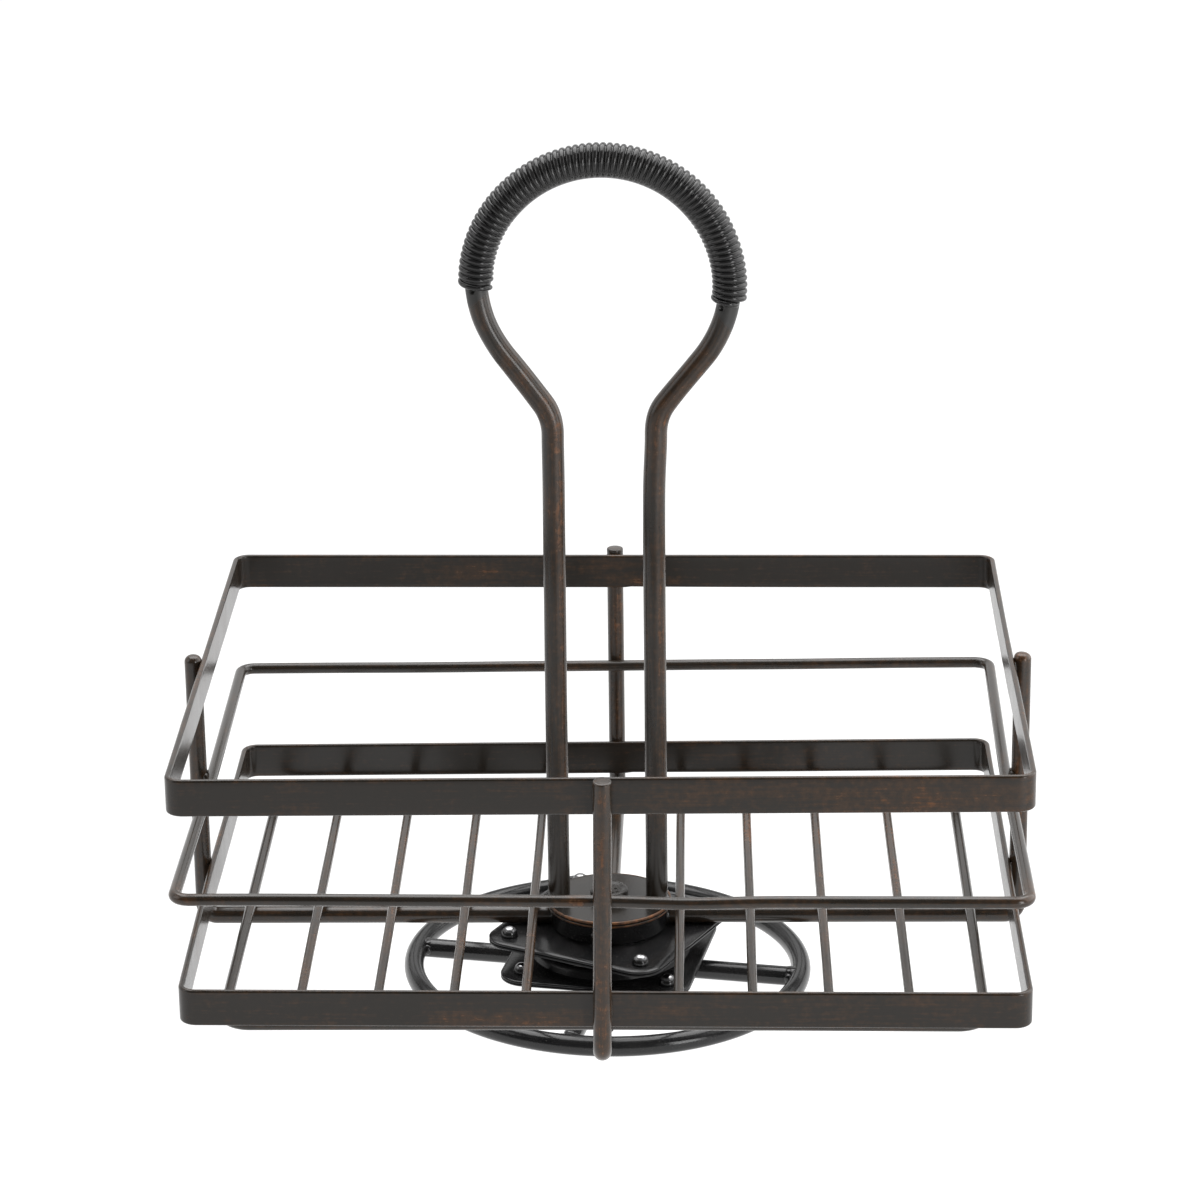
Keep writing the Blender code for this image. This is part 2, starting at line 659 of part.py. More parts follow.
def grip_skin(shape):
    """Outer skin of the grip: one ridge that winds round it like a wire, and its end rings.

    Rows of corners lie half a turn's pitch apart, by turns in the valley and on the crest.
    Each row runs a full pitch along the rod as it goes round once, so row r meets row r + 2.
    """
    crest = HANDLE_ROD_DIAMETER / 2 + SEAT_GAP + GRIP_WIRE_DIAMETER
    valley = crest - GRIP_RIDGE_DEPTH
    rows = 2 * GRIP_TURNS - 2
    span = 2 * GRIP_TURNS + 2
    corners = {}
    for side in range(GRIP_SIDES):
        extra = 3 if side == 0 else 1
        for row in range(rows + extra):
            share = (1 + row + 2 * side / GRIP_SIDES) / span
            radius = crest if row % 2 else valley
            corners[row, side] = shape.verts.new(grip_point(share, radius, side))
    for row in range(rows + 1):
        corners[row, GRIP_SIDES] = corners[row + 2, 0]
    for side in range(GRIP_SIDES):
        for row in range(rows):
            shape.faces.new((
                corners[row, side], corners[row, side + 1],
                corners[row + 1, side + 1], corners[row + 1, side]))
    collar = valley - GRIP_COLLAR_DEPTH
    rings = []
    for share, row in ((0, 0), (1, rows)):
        ring = [shape.verts.new(grip_point(share, collar, side)) for side in range(GRIP_SIDES)]
        for side in range(GRIP_SIDES):
            after = (side + 1) % GRIP_SIDES
            shape.faces.new((ring[side], ring[after], corners[row, side + 1], corners[row, side]))
        rings.append(ring)
    shape.faces.new((rings[0][0], corners[2, 0], corners[1, 0], corners[0, 0]))
    shape.faces.new((rings[1][0], corners[rows + 2, 0], corners[rows + 1, 0], corners[rows, 0]))
    return rings


def handle_grip(parent):
    """Close-wound wire over the top of the loop, with the rod's bore through it."""
    shape = bmesh.new()
    ends = grip_skin(shape)
    bore = outside_corners(HANDLE_ROD_DIAMETER / 2 + SEAT_GAP, GRIP_SIDES)
    loops = [ends[0]]
    for step in range(BORE_STEPS + 1):
        share = step / BORE_STEPS
        loops.append(
            [shape.verts.new(grip_point(share, bore, side)) for side in range(GRIP_SIDES)])
    loops.append(ends[1])
    for near, far in zip(loops, loops[1:]):
        for side in range(GRIP_SIDES):
            after = (side + 1) % GRIP_SIDES
            shape.faces.new((near[side], near[after], far[after], far[side]))
    item = solid("handle_grip", shape, grip_finish("handle_grip"))
    place(item, parent, (0, 0, LOOP_CENTRE_LEVEL))


def build_caddy():
    """Put the whole caddy together, group by group."""
    clear_scene()
    base = pivot("standing_base")
    base_ring(base)
    base_cross(base)
    base_plates(base)
    pivot_pin(base)
    race = pivot("ball_race_axis")
    balls(race)
    ball_cage(race)
    carrier = pivot("turning_axis")
    carrier_plates(carrier)
    hub_drum(carrier)
    hub_disc(carrier)
    uprights(carrier)
    band("top_band", TOP_BAND_TOP, carrier)
    band("bottom_band", BOTTOM_BAND_TOP, carrier)
    basket_loops(carrier)
    floor_wires(carrier)
    handle_rod(carrier)
    handle_grip(carrier)


build_caddy()
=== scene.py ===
import math
import bpy
import numpy as np
from mathutils import Matrix


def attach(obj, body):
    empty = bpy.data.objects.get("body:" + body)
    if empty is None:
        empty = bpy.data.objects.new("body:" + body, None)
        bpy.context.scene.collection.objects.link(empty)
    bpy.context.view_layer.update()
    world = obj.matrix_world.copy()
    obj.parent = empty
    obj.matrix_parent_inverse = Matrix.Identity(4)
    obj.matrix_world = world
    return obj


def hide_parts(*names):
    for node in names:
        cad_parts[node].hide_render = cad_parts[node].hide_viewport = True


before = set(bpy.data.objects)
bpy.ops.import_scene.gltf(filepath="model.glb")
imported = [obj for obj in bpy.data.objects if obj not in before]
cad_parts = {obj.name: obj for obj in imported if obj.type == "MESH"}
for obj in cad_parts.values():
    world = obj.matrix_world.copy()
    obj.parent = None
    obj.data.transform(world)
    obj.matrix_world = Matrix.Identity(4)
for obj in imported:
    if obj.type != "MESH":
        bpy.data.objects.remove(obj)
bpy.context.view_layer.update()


# ---- The view of the caddy ----
# The caddy stands with its long side across the picture and is seen from a little above,
# from about a metre and a half in front of it, through a long lens.
camera_data = bpy.data.cameras.new("view")
camera_data.sensor_width = 36.0
camera_data.lens = 124.12
camera = bpy.data.objects.new("view", camera_data)
bpy.context.collection.objects.link(camera)
camera.matrix_world = Matrix((
    (0.9996727, 0.0037045, 0.0253139, 0.0353887),
    (0.0225731, 0.3379489, -0.9408937, -1.3907918),
    (-0.0120404, 0.9411572, 0.3377547, 0.6445637),
    (0.0, 0.0, 0.0, 1.0)))
bpy.context.scene.camera = camera


# ---- The white table and the soft studio light ----
# A wide sheet of white acrylic that glows evenly from below. Its glow also holds painted light:
# it is stronger under the caddy, which lights away the caddy's shadow, it is a painted pool of
# light at the front right, and it is weaker in one oval before it, a painted dim patch which only
# the metal mirrors. A large soft light hangs over it, a tall one stands at the right, a strip at
# the front right and a small one at the left.
POOL_AHEAD = 0.92
POOL_HALF_X = 0.85
POOL_HALF_Y = 0.50


class Nodes:
    """The node tree of a material or a room, with quick ways to add to it.

    Each way to add makes one node and returns its result, which goes into others as a value.
    """

    def __init__(self, owner):
        owner.use_nodes = True
        self.owner = owner
        self.tree = owner.node_tree

    def put(self, value, socket):
        """Links another node's result to the socket, or sets a plain number or colour on it."""
        if isinstance(value, bpy.types.NodeSocket):
            self.tree.links.new(value, socket)
        else:
            socket.default_value = (*value, 1) if socket.type == "RGBA" else value

    def add(self, kind, *values, out=0, **settings):
        """A node. Values go to its first sockets, settings to its options and named sockets."""
        node = self.tree.nodes.new("ShaderNode" + kind)
        for key, value in settings.items():
            if key in node.inputs:
                self.put(value, node.inputs[key])
            else:
                setattr(node, key, value)
        for socket, value in zip(node.inputs, values):
            self.put(value, socket)
        return node.outputs[out]

    def noise(self, scale, detail, roughness=0.5, place=None):
        """Cloudy noise from 0 to 1, on Object coordinates where no other place is given."""
        place = place or self.add("TexCoord", out="Object")
        return self.add("TexNoise", Vector=place, Scale=scale, Detail=detail, Roughness=roughness)

    def spread(self, value, low, high, least=0.0, most=1.0, **options):
        """A value's range from low to high, carried over to the range from least to most."""
        return self.add("MapRange", value, low, high, least, most, **options)

    def step(self, value, low, high, most=1.0, least=0.0):
        """A smooth step from the least, before the low value, to the most, past the high one."""
        return self.spread(value, low, high, least, most, interpolation_type="SMOOTHSTEP")

    def part_of(self, one, share, other):
        """One value times a share, plus another."""
        return self.add("Math", one, share, other, operation="MULTIPLY_ADD")

    def product(self, one, other):
        """One value times another."""
        return self.add("Math", one, other, operation="MULTIPLY")

    def reach(self, place):
        """The distance of a place from the origin."""
        return self.add("VectorMath", place, operation="LENGTH", out="Value")

    def ramp(self, value, low, high, low_colour, high_colour):
        """A colour that goes from one to another as the value goes from low to high."""
        node = self.tree.nodes.new("ShaderNodeValToRGB")
        first, last = node.color_ramp.elements
        first.position, first.color = low, (*low_colour, 1)
        last.position, last.color = high, (*high_colour, 1)
        self.put(value, node.inputs[0])
        return node.outputs[0]

    def blend(self, share, one, other):
        """One colour, and more of the other where the share is high."""
        node = self.tree.nodes.new("ShaderNodeMix")
        node.data_type = "RGBA"
        for number, value in ((0, share), (6, one), (7, other)):
            self.put(value, node.inputs[number])
        return node.outputs[2]

    def coat(self, colour, rough, gleam=0.5, metal=0.0, relief=None, glow=0.0):
        """The finished material. Its relief is a height with the strength and depth of its bump."""
        shader = self.tree.nodes["Principled BSDF"]
        if relief:
            height, strength, depth = relief
            self.put(self.add("Bump", Height=height, Strength=strength, Distance=depth),
                     shader.inputs["Normal"])
        for key, value in (("Base Color", colour), ("Roughness", rough), ("Metallic", metal),
                           ("Specular IOR Level", gleam), ("Emission Strength", glow)):
            self.put(value, shader.inputs[key])
        return self.owner


card = bpy.data.meshes.new("white_table")
card.from_pydata([(-6, -6, 0), (6, -6, 0), (6, 6, 0), (-6, 6, 0)], [], [(0, 1, 2, 3)])
table = bpy.data.objects.new("white_table", card)
bpy.context.collection.objects.link(table)
acrylic = Nodes(bpy.data.materials.new("white_acrylic"))
on_card = acrylic.add("TexCoord", out="Object")
# Painted light on the floor, besides its even glow: a stronger glow under the caddy lights away its
# shadow, a pool of extra glow at the front right lights the metal's right sides, and a dim oval
# ahead is seen only in reflections.
under = acrylic.step(acrylic.reach(on_card), 0.20, 0.07, 0.24)
painted_light_pool_right = acrylic.product(
    acrylic.step(acrylic.add("SeparateXYZ", on_card, out="X"), 0.10, 0.30, 0.55),
    acrylic.step(acrylic.add("SeparateXYZ", on_card, out="Y"), -0.20, -0.36))
pool_place = acrylic.add(
    "Mapping", on_card, Location=(0.0, POOL_AHEAD / POOL_HALF_Y, 0.0),
    Scale=(1 / POOL_HALF_X, 1 / POOL_HALF_Y, 0.0))
painted_dim_pool = acrylic.step(acrylic.reach(pool_place), 1.02, 0.86, -0.46)
seen = acrylic.add("LightPath", out="Is Camera Ray")
painted_dim_pool_in_mirrors = acrylic.product(painted_dim_pool, acrylic.add("Math", 1.0, seen, operation="SUBTRACT"))
all_over = acrylic.add("Math", under, 0.80)
card.materials.append(acrylic.coat(
    (0.20, 0.20, 0.20), 0.85, gleam=0.10,
    glow=acrylic.add("Math", acrylic.add("Math", all_over, painted_light_pool_right), painted_dim_pool_in_mirrors)))
acrylic.put((1.0, 1.0, 1.0), acrylic.tree.nodes["Principled BSDF"].inputs["Emission Color"])


def soft_light(name, place, aim, width, height, power):
    """A rectangular light of the given size that stands at a place and faces another."""
    data = bpy.data.lights.new(name, "AREA")
    data.shape = "RECTANGLE"
    data.size, data.size_y, data.energy = width, height, power
    light = bpy.data.objects.new(name, data)
    bpy.context.collection.objects.link(light)
    away = np.subtract(place, aim)
    side = np.cross((0.0, 0.0, 1.0), away)
    up = np.cross(away, side)
    columns = [axis / np.linalg.norm(axis) for axis in (side, up, away)] + [np.array(place)]
    light.matrix_world = Matrix([*np.stack(columns, -1).tolist(), (0, 0, 0, 1)])
    light.visible_camera = False


soft_light("overhead_light", (0.0, 0.55, 1.9), (0.0, 0.05, 0.1), 2.2, 1.8, 54)
soft_light("right_light", (0.78, 0.10, 0.52), (0.0, 0.0, 0.14), 1.1, 1.0, 6.5)
soft_light("front_strip", (0.89, -1.09, 0.38), (0.0, 0.0, 0.18), 0.40, 0.80, 7.4)
soft_light("left_light", (-1.5, -0.4, 0.9), (0.0, 0.0, 0.12), 0.9, 1.2, 4.5)

room = bpy.data.worlds.new("room")
bpy.context.scene.world = room
walls = Nodes(room)
above_camera = walls.add(
    "VectorMath", walls.add("TexCoord", out="Generated"), (0.0, -0.86, 0.51),
    operation="DOT_PRODUCT", out="Value")
background = room.node_tree.nodes["Background"]
walls.put(walls.step(above_camera, -0.20, 0.70, 0.10, 1.05), background.inputs["Strength"])
walls.put((1.0, 1.0, 1.0), background.inputs["Color"])
bpy.context.scene.view_settings.view_transform = "Standard"


# ---- Base ring and its cross ----
# The ring that stands on the table is one round steel rod, 7 mm thick, bent to a circle, not
# quite true, and butt-welded. One bar of the same rod crosses it and two half bars meet that
# bar in the middle. All of it is dipped in glossy black enamel.
RING_RADIUS = 0.0707
BASE_ROD = 0.0035
RING_ROD = 0.0036
CROSS_TURN = math.radians(-10.8)
UP = np.array([0.0, 0.0, 1.0])


def running_total(parts):
    """Zero, then the sum of the parts up to each one."""
    return np.concatenate([[0], np.cumsum(parts)])


def shell(grid, path_closed=False, marks=None):
    """A closed skin from a grid of points.

    Row i is one ring of points round the piece and column j runs along it. The quad of i and j
    joins (i, j), (i, j+1), (i+1, j+1), (i+1, j), and j always closes on itself. An open path is
    closed at each end by a fan to the mean of its ring. The strip map holds, in metres, the
    distance along the piece and the distance round it.
    """
    rows, columns = grid.shape[:2]
    number = np.arange(rows * columns).reshape(rows, columns)
    lines = rows if path_closed else rows - 1
    here, there = number[:lines], np.roll(number, -1, axis=0)[:lines]
    quads = np.stack([here, np.roll(here, -1, 1), np.roll(there, -1, 1), there], -1)
    along = running_total(
        np.linalg.norm(np.diff(grid, axis=0, append=grid[:1]), axis=2).mean(1))
    across = running_total(np.linalg.norm(np.roll(grid, -1, axis=1) - grid, axis=2).mean(0))
    i, j = np.meshgrid(np.arange(lines), np.arange(columns), indexing="ij")
    quad_map = np.stack([np.stack([along[i + p], across[j + q]], -1)
                         for p, q in ((0, 0), (0, 1), (1, 1), (1, 0))], 2)
    corners, counts, maps = [quads.ravel()], [np.full(quads.size // 4, 4)], [quad_map]
    points = grid.reshape(-1, 3)
    values = {key: np.broadcast_to(value, (rows, columns)).reshape(-1)
              for key, value in (marks or {}).items()}
    for row, order in () if path_closed else ((0, [1, 0, 2]), (rows - 1, [0, 1, 2])):
        ring, level = number[row], np.full(columns, along[row])
        fan = np.stack([ring, np.roll(ring, -1), np.full(columns, len(points))], -1)
        fan_map = np.stack([
            np.stack([level, across[:-1]], -1), np.stack([level, across[1:]], -1),
            np.stack([level + 0.001, across[:-1]], -1)], 1)
        corners.append(fan[:, order].ravel())
        counts.append(np.full(columns, 3))
        maps.append(fan_map[:, order])
        points = np.vstack([points, grid[row].mean(0)])
        values = {key: np.append(value, value[ring].mean()) for key, value in values.items()}
    corners, counts = np.concatenate(corners), np.concatenate(counts)
    maps = np.concatenate([part.reshape(-1, 2) for part in maps])
    starts = running_total(counts)[:-1]
    corner = points[corners]
    following = np.arange(len(corners)) + 1
    following[starts + counts - 1] = starts
    fan_point = np.repeat(corner[starts], counts, axis=0)
    if (fan_point * np.cross(corner, corner[following])).sum() < 0:
        owner = np.repeat(np.arange(len(counts)), counts)
        mirrored = 2 * starts[owner] + counts[owner] - 1 - np.arange(len(corners))
        corners, maps = corners[mirrored], maps[mirrored]
    return {"points": points, "corners": corners, "counts": counts, "map": maps, "marks": values}


def piece(name, shells, paint, sharp=35.0):
    """One mesh object at the origin from one or more closed skins, its round sides smooth."""
    shifts = running_total([len(part["points"]) for part in shells])
    corners = np.concatenate([part["corners"] + shift for part, shift in zip(shells, shifts)])
    points, counts, strip_map = (
        np.concatenate([part[key] for part in shells]) for key in ("points", "counts", "map"))
    mesh = bpy.data.meshes.new(name)
    mesh.vertices.add(len(points))
    mesh.vertices.foreach_set("co", points.astype(np.float32).ravel())
    mesh.loops.add(len(corners))
    mesh.loops.foreach_set("vertex_index", corners.astype(np.int32))
    mesh.polygons.add(len(counts))
    mesh.polygons.foreach_set("loop_start", running_total(counts)[:-1].astype(np.int32))
    mesh.polygons.foreach_set("loop_total", counts.astype(np.int32))
    mesh.update(calc_edges=True)
    layer = mesh.uv_layers.new(name="strip")
    layer.data.foreach_set("uv", strip_map.astype(np.float32).ravel())
    for key in sorted({key for part in shells for key in part["marks"]}):
        data = np.concatenate([
            part["marks"].get(key, np.zeros(len(part["points"]))) for part in shells])
        mark = mesh.attributes.new(key, "FLOAT", "POINT")
        mark.data.foreach_set("value", data.astype(np.float32))
    mesh.shade_smooth()
    mesh.set_sharp_from_angle(angle=math.radians(sharp))
    mesh.materials.append(paint)
    item = bpy.data.objects.new(name, mesh)
    bpy.context.collection.objects.link(item)
    return item


def whole_turn(steps):
    """Evenly spaced angles that go once round."""
    return np.linspace(0, 2 * np.pi, steps, endpoint=False)


def polar(radius, angle):
    """Flat points at a radius and an angle: (radius cos angle, radius sin angle)."""
    return np.stack([radius * np.cos(angle), radius * np.sin(angle)], -1)


def raised(flat, height):
    """Flat points with a height added to them as a third number."""
    return np.column_stack([flat, np.full(len(flat), height)])


def swept_rod(route, radius, flat_normal, sides, path_closed=False, run=None):
    """Points of a round rod whose route lies in a plane.

    At each station the ring is centre + radius * (cos a * m + sin a * n), where n is the
    plane's normal and m lies in the plane, square to the route's run.
    """
    if path_closed:
        run = np.roll(route, -1, axis=0) - np.roll(route, 1, axis=0)
    elif run is None:
        run = np.gradient(route, axis=0)
    n = np.array(flat_normal, float)
    m = np.cross(n, run)
    m /= np.linalg.norm(m, axis=1, keepdims=True)
    a = whole_turn(sides)[:, None]
    radius = np.broadcast_to(radius, (len(route),))[:, None, None]
    return route[:, None] + radius * (np.cos(a) * m[:, None] + np.sin(a) * n)


def straight(start, end, step):
    """Evenly spaced points from start to end, both included."""
    start, end = np.array(start, float), np.array(end, float)
    count = max(2, int(np.linalg.norm(end - start) / step) + 1)
    return start + (end - start) * np.linspace(0, 1, count)[:, None]


def black_enamel(name, haze=0.0, gleam=0.5):
    """Glossy black dipped enamel: slightly uneven gloss, orange peel, and specks of dust."""
    dip = Nodes(bpy.data.materials.new(name))
    cloud = dip.noise(55.0, 5.0, 0.6)
    tone = dip.ramp(cloud, 0.32, 0.75, (0.0075, 0.0078, 0.0085),
                    (0.017 + haze, 0.0165 + haze, 0.0165 + haze))
    dust = dip.spread(dip.noise(2600.0, 1.0), 0.66, 0.74)
    return dip.coat(
        dip.blend(dust, tone, (0.045, 0.042, 0.040)),
        dip.spread(cloud, 0.3, 0.7, 0.13 + haze * 4, 0.27 + haze * 4),
        gleam, relief=(dip.noise(900.0, 2.0), 0.22, 0.00012))


def ring_radius(bearing):
    """The ring's radius at a bearing: bent by hand, it is a little off centre and a little oval."""
    return RING_RADIUS + 0.001 * (
        -1.15 * np.cos(bearing) - 0.94 * np.sin(bearing)
        + 0.46 * np.cos(2 * bearing) - 1.70 * np.sin(2 * bearing))


ring_angle = whole_turn(240)
ring_route = raised(polar(ring_radius(ring_angle), ring_angle), RING_ROD)
ring_seam = np.exp(-((ring_angle - 1.9) / 0.03) ** 2)
ring_grid = swept_rod(ring_route, RING_ROD, UP, 32, path_closed=True)
ring_grid[..., 2] = np.maximum(
    RING_ROD + (ring_grid[..., 2] - RING_ROD) * (1 + 0.06 * ring_seam[:, None]), 0.0)
base_ring = piece("base_ring_rod", [shell(ring_grid, path_closed=True)],
                  black_enamel("ring_enamel", gleam=0.40))
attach(base_ring, "base")
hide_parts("base_ring")

bar_reach = RING_RADIUS - 0.0008
along_bar = np.array([math.cos(CROSS_TURN), math.sin(CROSS_TURN), 0.0])
over_bar = np.array([-math.sin(CROSS_TURN), math.cos(CROSS_TURN), 0.0])
lift = np.array([0, 0, BASE_ROD])
for node, direction, inner_end in (
        ("base_bar_long", along_bar, -bar_reach),
        ("base_bar_back", over_bar, BASE_ROD * 0.6),
        ("base_bar_front", -over_bar, BASE_ROD * 0.6)):
    bar_route = straight(direction * inner_end + lift, direction * bar_reach + lift, 0.002)
    bar = piece(node + "_rod", [shell(swept_rod(bar_route, BASE_ROD, UP, 32))],
                black_enamel(node + "_enamel"))
    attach(bar, "base")
    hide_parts(node)


# ---- Welds of the base ----
# Each bar end is welded to the ring, and the half bars to the long bar, with small lumpy
# fillets that the enamel has run over and rounded.
BESIDE_BAR = 0.86 * BASE_ROD


def weld_lump(centre, half_sizes, seed, turn_to=np.eye(3), rows=9, columns=14):
    """A lump of weld: an ellipsoid whose distance from its centre swells and sinks by a few waves.

    Point of latitude b and longitude c: half_sizes * (cos b cos c, cos b sin c, sin b) * swell,
    turned so that its three axes are the rows of turn_to.
    """
    pole = np.pi / 2 * 0.94
    b = np.linspace(-pole, pole, rows)[:, None]
    c = whole_turn(columns)[None, :]
    p = np.random.default_rng(seed).uniform(0, 6.28, 4)
    swell = 1 + 0.07 * np.sin(2 * c + p[0]) * np.cos(b) + 0.06 * np.sin(3 * b + p[1])
    swell = swell + 0.05 * np.sin(3 * c + p[2]) * np.sin(2 * b + p[3])
    unit = np.stack([np.cos(b) * np.cos(c), np.cos(b) * np.sin(c), np.sin(b) + 0 * c], -1)
    grid = (unit * np.array(half_sizes) * swell[..., None]) @ np.array(turn_to, float)
    return shell(grid + np.array(centre, float))


lumps = []
for spot, direction in enumerate((along_bar, over_bar, -along_bar, -over_bar)):
    sideways = np.array([-direction[1], direction[0], 0.0])
    reach = ring_radius(math.atan2(direction[1], direction[0])) - RING_ROD - 0.0003
    for part, (offset, rise, sizes) in enumerate((
            (1, 0.15, (0.0017, 0.0015, 0.0019)), (-1, 0.15, (0.0017, 0.0015, 0.0019)),
            (0, 1.0, (0.0017, 0.0026, 0.0008)))):
        out = sideways * offset * BESIDE_BAR + UP * rise * BASE_ROD * 0.80
        lumps.append(weld_lump(
            direction * reach + lift + out, sizes, 10 * spot + part, (direction, sideways, UP)))
for part, offset in enumerate((1, -1)):
    for side in (1, -1):
        lumps.append(weld_lump(
            over_bar * side * (BASE_ROD + 0.0002) + along_bar * offset * BESIDE_BAR + lift,
            (0.0016, 0.0016, 0.0019), 60 + 2 * part + side, (along_bar, over_bar, UP)))
base_welds = piece("base_welds", lumps, black_enamel("base_weld_enamel", haze=0.004))
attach(base_welds, "base")


# ---- Plates of the turntable bearing ----
# Two square sheets, pressed to a ball race, face each other, and each lies on a flat square
# mounting plate. They are thin steel with rounded corners, cut, pressed and painted black.
PLATE_SIDE = 0.070
PLATE_CORNER = 0.0095
SHEET = 0.0009
CUT_EDGE = 0.0002
UPPER_TURN = math.radians(-27.0)
RACE_CIRCLE = 0.0225
RACE_LIP = 0.0034
PIN_BORE = 0.0033


def turned(points, angle):
    """Points turned about the upright axis by an angle. A height stays as it is."""
    c, s = math.cos(angle), math.sin(angle)
    x, y = points[..., 0], points[..., 1]
    flat = np.stack([c * x - s * y, s * x + c * y], -1)
    return np.concatenate([flat, points[..., 2:]], -1)


def rounded_square(inset):
    """Outline of the plate, moved inwards: four quarter circles joined by straight sides."""
    half = PLATE_SIDE / 2 - inset
    corner = max(PLATE_CORNER - inset, 0.002)
    run = np.linspace(0, 1, 14)[1:-1]
    flat = half - corner
    quarter = np.concatenate([
        flat + polar(corner, np.linspace(0, np.pi / 2, 15)),
        np.stack([flat - 2 * flat * run, np.full(len(run), half)], -1)])
    return np.concatenate([turned(quarter, number * np.pi / 2) for number in range(4)])


def plate_grid(section, turn):
    """Rings of a square plate with a round bore.

    Each entry of the section is (kind, value, height). Kind "square" is the outline moved
    inwards by the value, and kind "round" a circle of that radius with the same bearings.
    """
    outline = rounded_square(0.0)
    bearing = np.arctan2(outline[:, 1], outline[:, 0])
    rings = [raised(rounded_square(value) if kind == "square" else polar(value, bearing), height)
             for kind, value, height in section]
    return turned(np.array(rings), turn)


def flat_plate_section(level):
    """Edge rounded by 0.2 mm above and below, flat faces, and a round bore."""
    e, top, low = CUT_EDGE, level + SHEET, level
    return [
        ("square", e, low), ("square", 0.0, low + e), ("square", 0.0, top - e),
        ("square", e, top), ("square", 0.003, top), ("round", 0.030, top),
        ("round", PIN_BORE + e, top), ("round", PIN_BORE, top - e), ("round", PIN_BORE, low + e),
        ("round", PIN_BORE + e, low), ("round", 0.030, low), ("square", 0.003, low)]


def race_sheet_section(level, rise, rolled):
    """A sheet with a ring-shaped ball race pressed up or down, and its edge rolled over."""
    e = CUT_EDGE
    walk = [(RACE_CIRCLE + out, height) for out, height in (
        (0.0078, 0.00000), (0.0070, 0.00025), (0.0064, 0.00170), (0.0058, 0.00300),
        (0.0052, RACE_LIP), (0.0044, RACE_LIP), (0.0039, 0.00300), (0.0028, 0.00140),
        (0.0014, 0.00085), (0.0, 0.00070))]
    inner = [(2 * RACE_CIRCLE - radius, height) for radius, height in walk[-2::-1]]
    face = walk + inner + [(0.0122, 0.0)]
    outer = [("square", e, 0.0 - rolled), ("square", 0.0, e - rolled),
             ("square", 0.0, SHEET - e - rolled), ("square", e, SHEET - rolled * 0.92),
             ("square", 0.0009, SHEET - rolled * 0.55), ("square", 0.0018, SHEET - rolled * 0.18),
             ("square", 0.0028, SHEET), ("square", 0.0040, SHEET)]
    upper = [("round", radius, SHEET + rise * height) for radius, height in face]
    lower = [("round", radius, rise * height) for radius, height in face][::-1]
    under = [("square", 0.0040, 0.0), ("square", 0.0028, 0.0),
             ("square", 0.0018, -rolled * 0.18), ("square", 0.0009, -rolled * 0.55)]
    return [(kind, value, level + height) for kind, value, height in outer + upper + lower + under]


for node, ending, section, body, turn, gleam in (
        ("base_mounting_plate", "_sheet", flat_plate_section(0.0073), "base", CROSS_TURN, 0.22),
        ("carrier_mounting_plate", "_sheet", flat_plate_section(0.0186), "carrier", UPPER_TURN,
         0.30),
        ("bearing_lower_sheet", "_pressing", race_sheet_section(0.0085, 1, 0.00030), "base",
         CROSS_TURN, 0.24),
        ("bearing_upper_sheet", "_pressing", race_sheet_section(0.0174, -1, 0.0), "carrier",
         UPPER_TURN, 0.24)):
    plate = piece(node + ending, [shell(plate_grid(section, turn), path_closed=True)],
                  black_enamel(node + "_enamel", gleam=gleam), sharp=50.0)
    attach(plate, body)
    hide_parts(node)


# ---- Balls and their cage ----
# Twelve hard steel balls run between the two races, and a thin flat ring with twelve holes
# keeps them apart. Both are bare steel, darkened by old grease.
BALL_LEVEL = 0.0134
BALL = 0.003
NEAR_POLE = np.pi / 2 * 0.97


def turned_grid(profile, steps, centre=(0.0, 0.0)):
    """A profile of (radius, height) turned about an upright axis through the centre."""
    a = whole_turn(steps)
    r, z = np.array(profile, float).T[..., None]
    return np.stack([centre[0] + r * np.cos(a), centre[1] + r * np.sin(a), z + 0 * a], -1)


def worn_steel(name, tone, rough_low, rough_high, grime, dark_sides=False):
    """Bright steel with turning marks and grime. Where the bare mark is low: paint, and painted
    shade.
    """
    steel = Nodes(bpy.data.materials.new(name))
    cloud = steel.noise(420.0, 4.0, 0.65)
    colour, bare = steel.ramp(cloud, 0.30, 0.58, grime, tone), 1.0
    if dark_sides:
        bare = steel.add("Attribute", attribute_name="bare", out="Fac")
        colour = steel.blend(bare, (0.010, 0.010, 0.010), colour)
    return steel.coat(
        colour, steel.spread(cloud, 0.0, 1.0, rough_low, rough_high), metal=bare,
        relief=(steel.noise(3200.0, 2.0), 0.12, 0.00004))


ball_profile = (0, BALL_LEVEL) + polar(BALL, np.linspace(-NEAR_POLE, NEAR_POLE, 13))
race_balls = piece("race_balls", [
    shell(turned_grid(ball_profile, 20, spot)) for spot in polar(RACE_CIRCLE, whole_turn(12))],
    worn_steel("ball_steel", (0.42, 0.42, 0.43), 0.12, 0.25, (0.10, 0.09, 0.08)))
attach(race_balls, "ball_race")
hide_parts(*[f"ball_{number:02d}" for number in range(1, 13)])

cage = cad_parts["ball_cage"]
cage.data.materials.clear()
cage.data.materials.append(worn_steel(
    "cage_steel", (0.30, 0.29, 0.28), 0.28, 0.45, (0.07, 0.06, 0.05)))
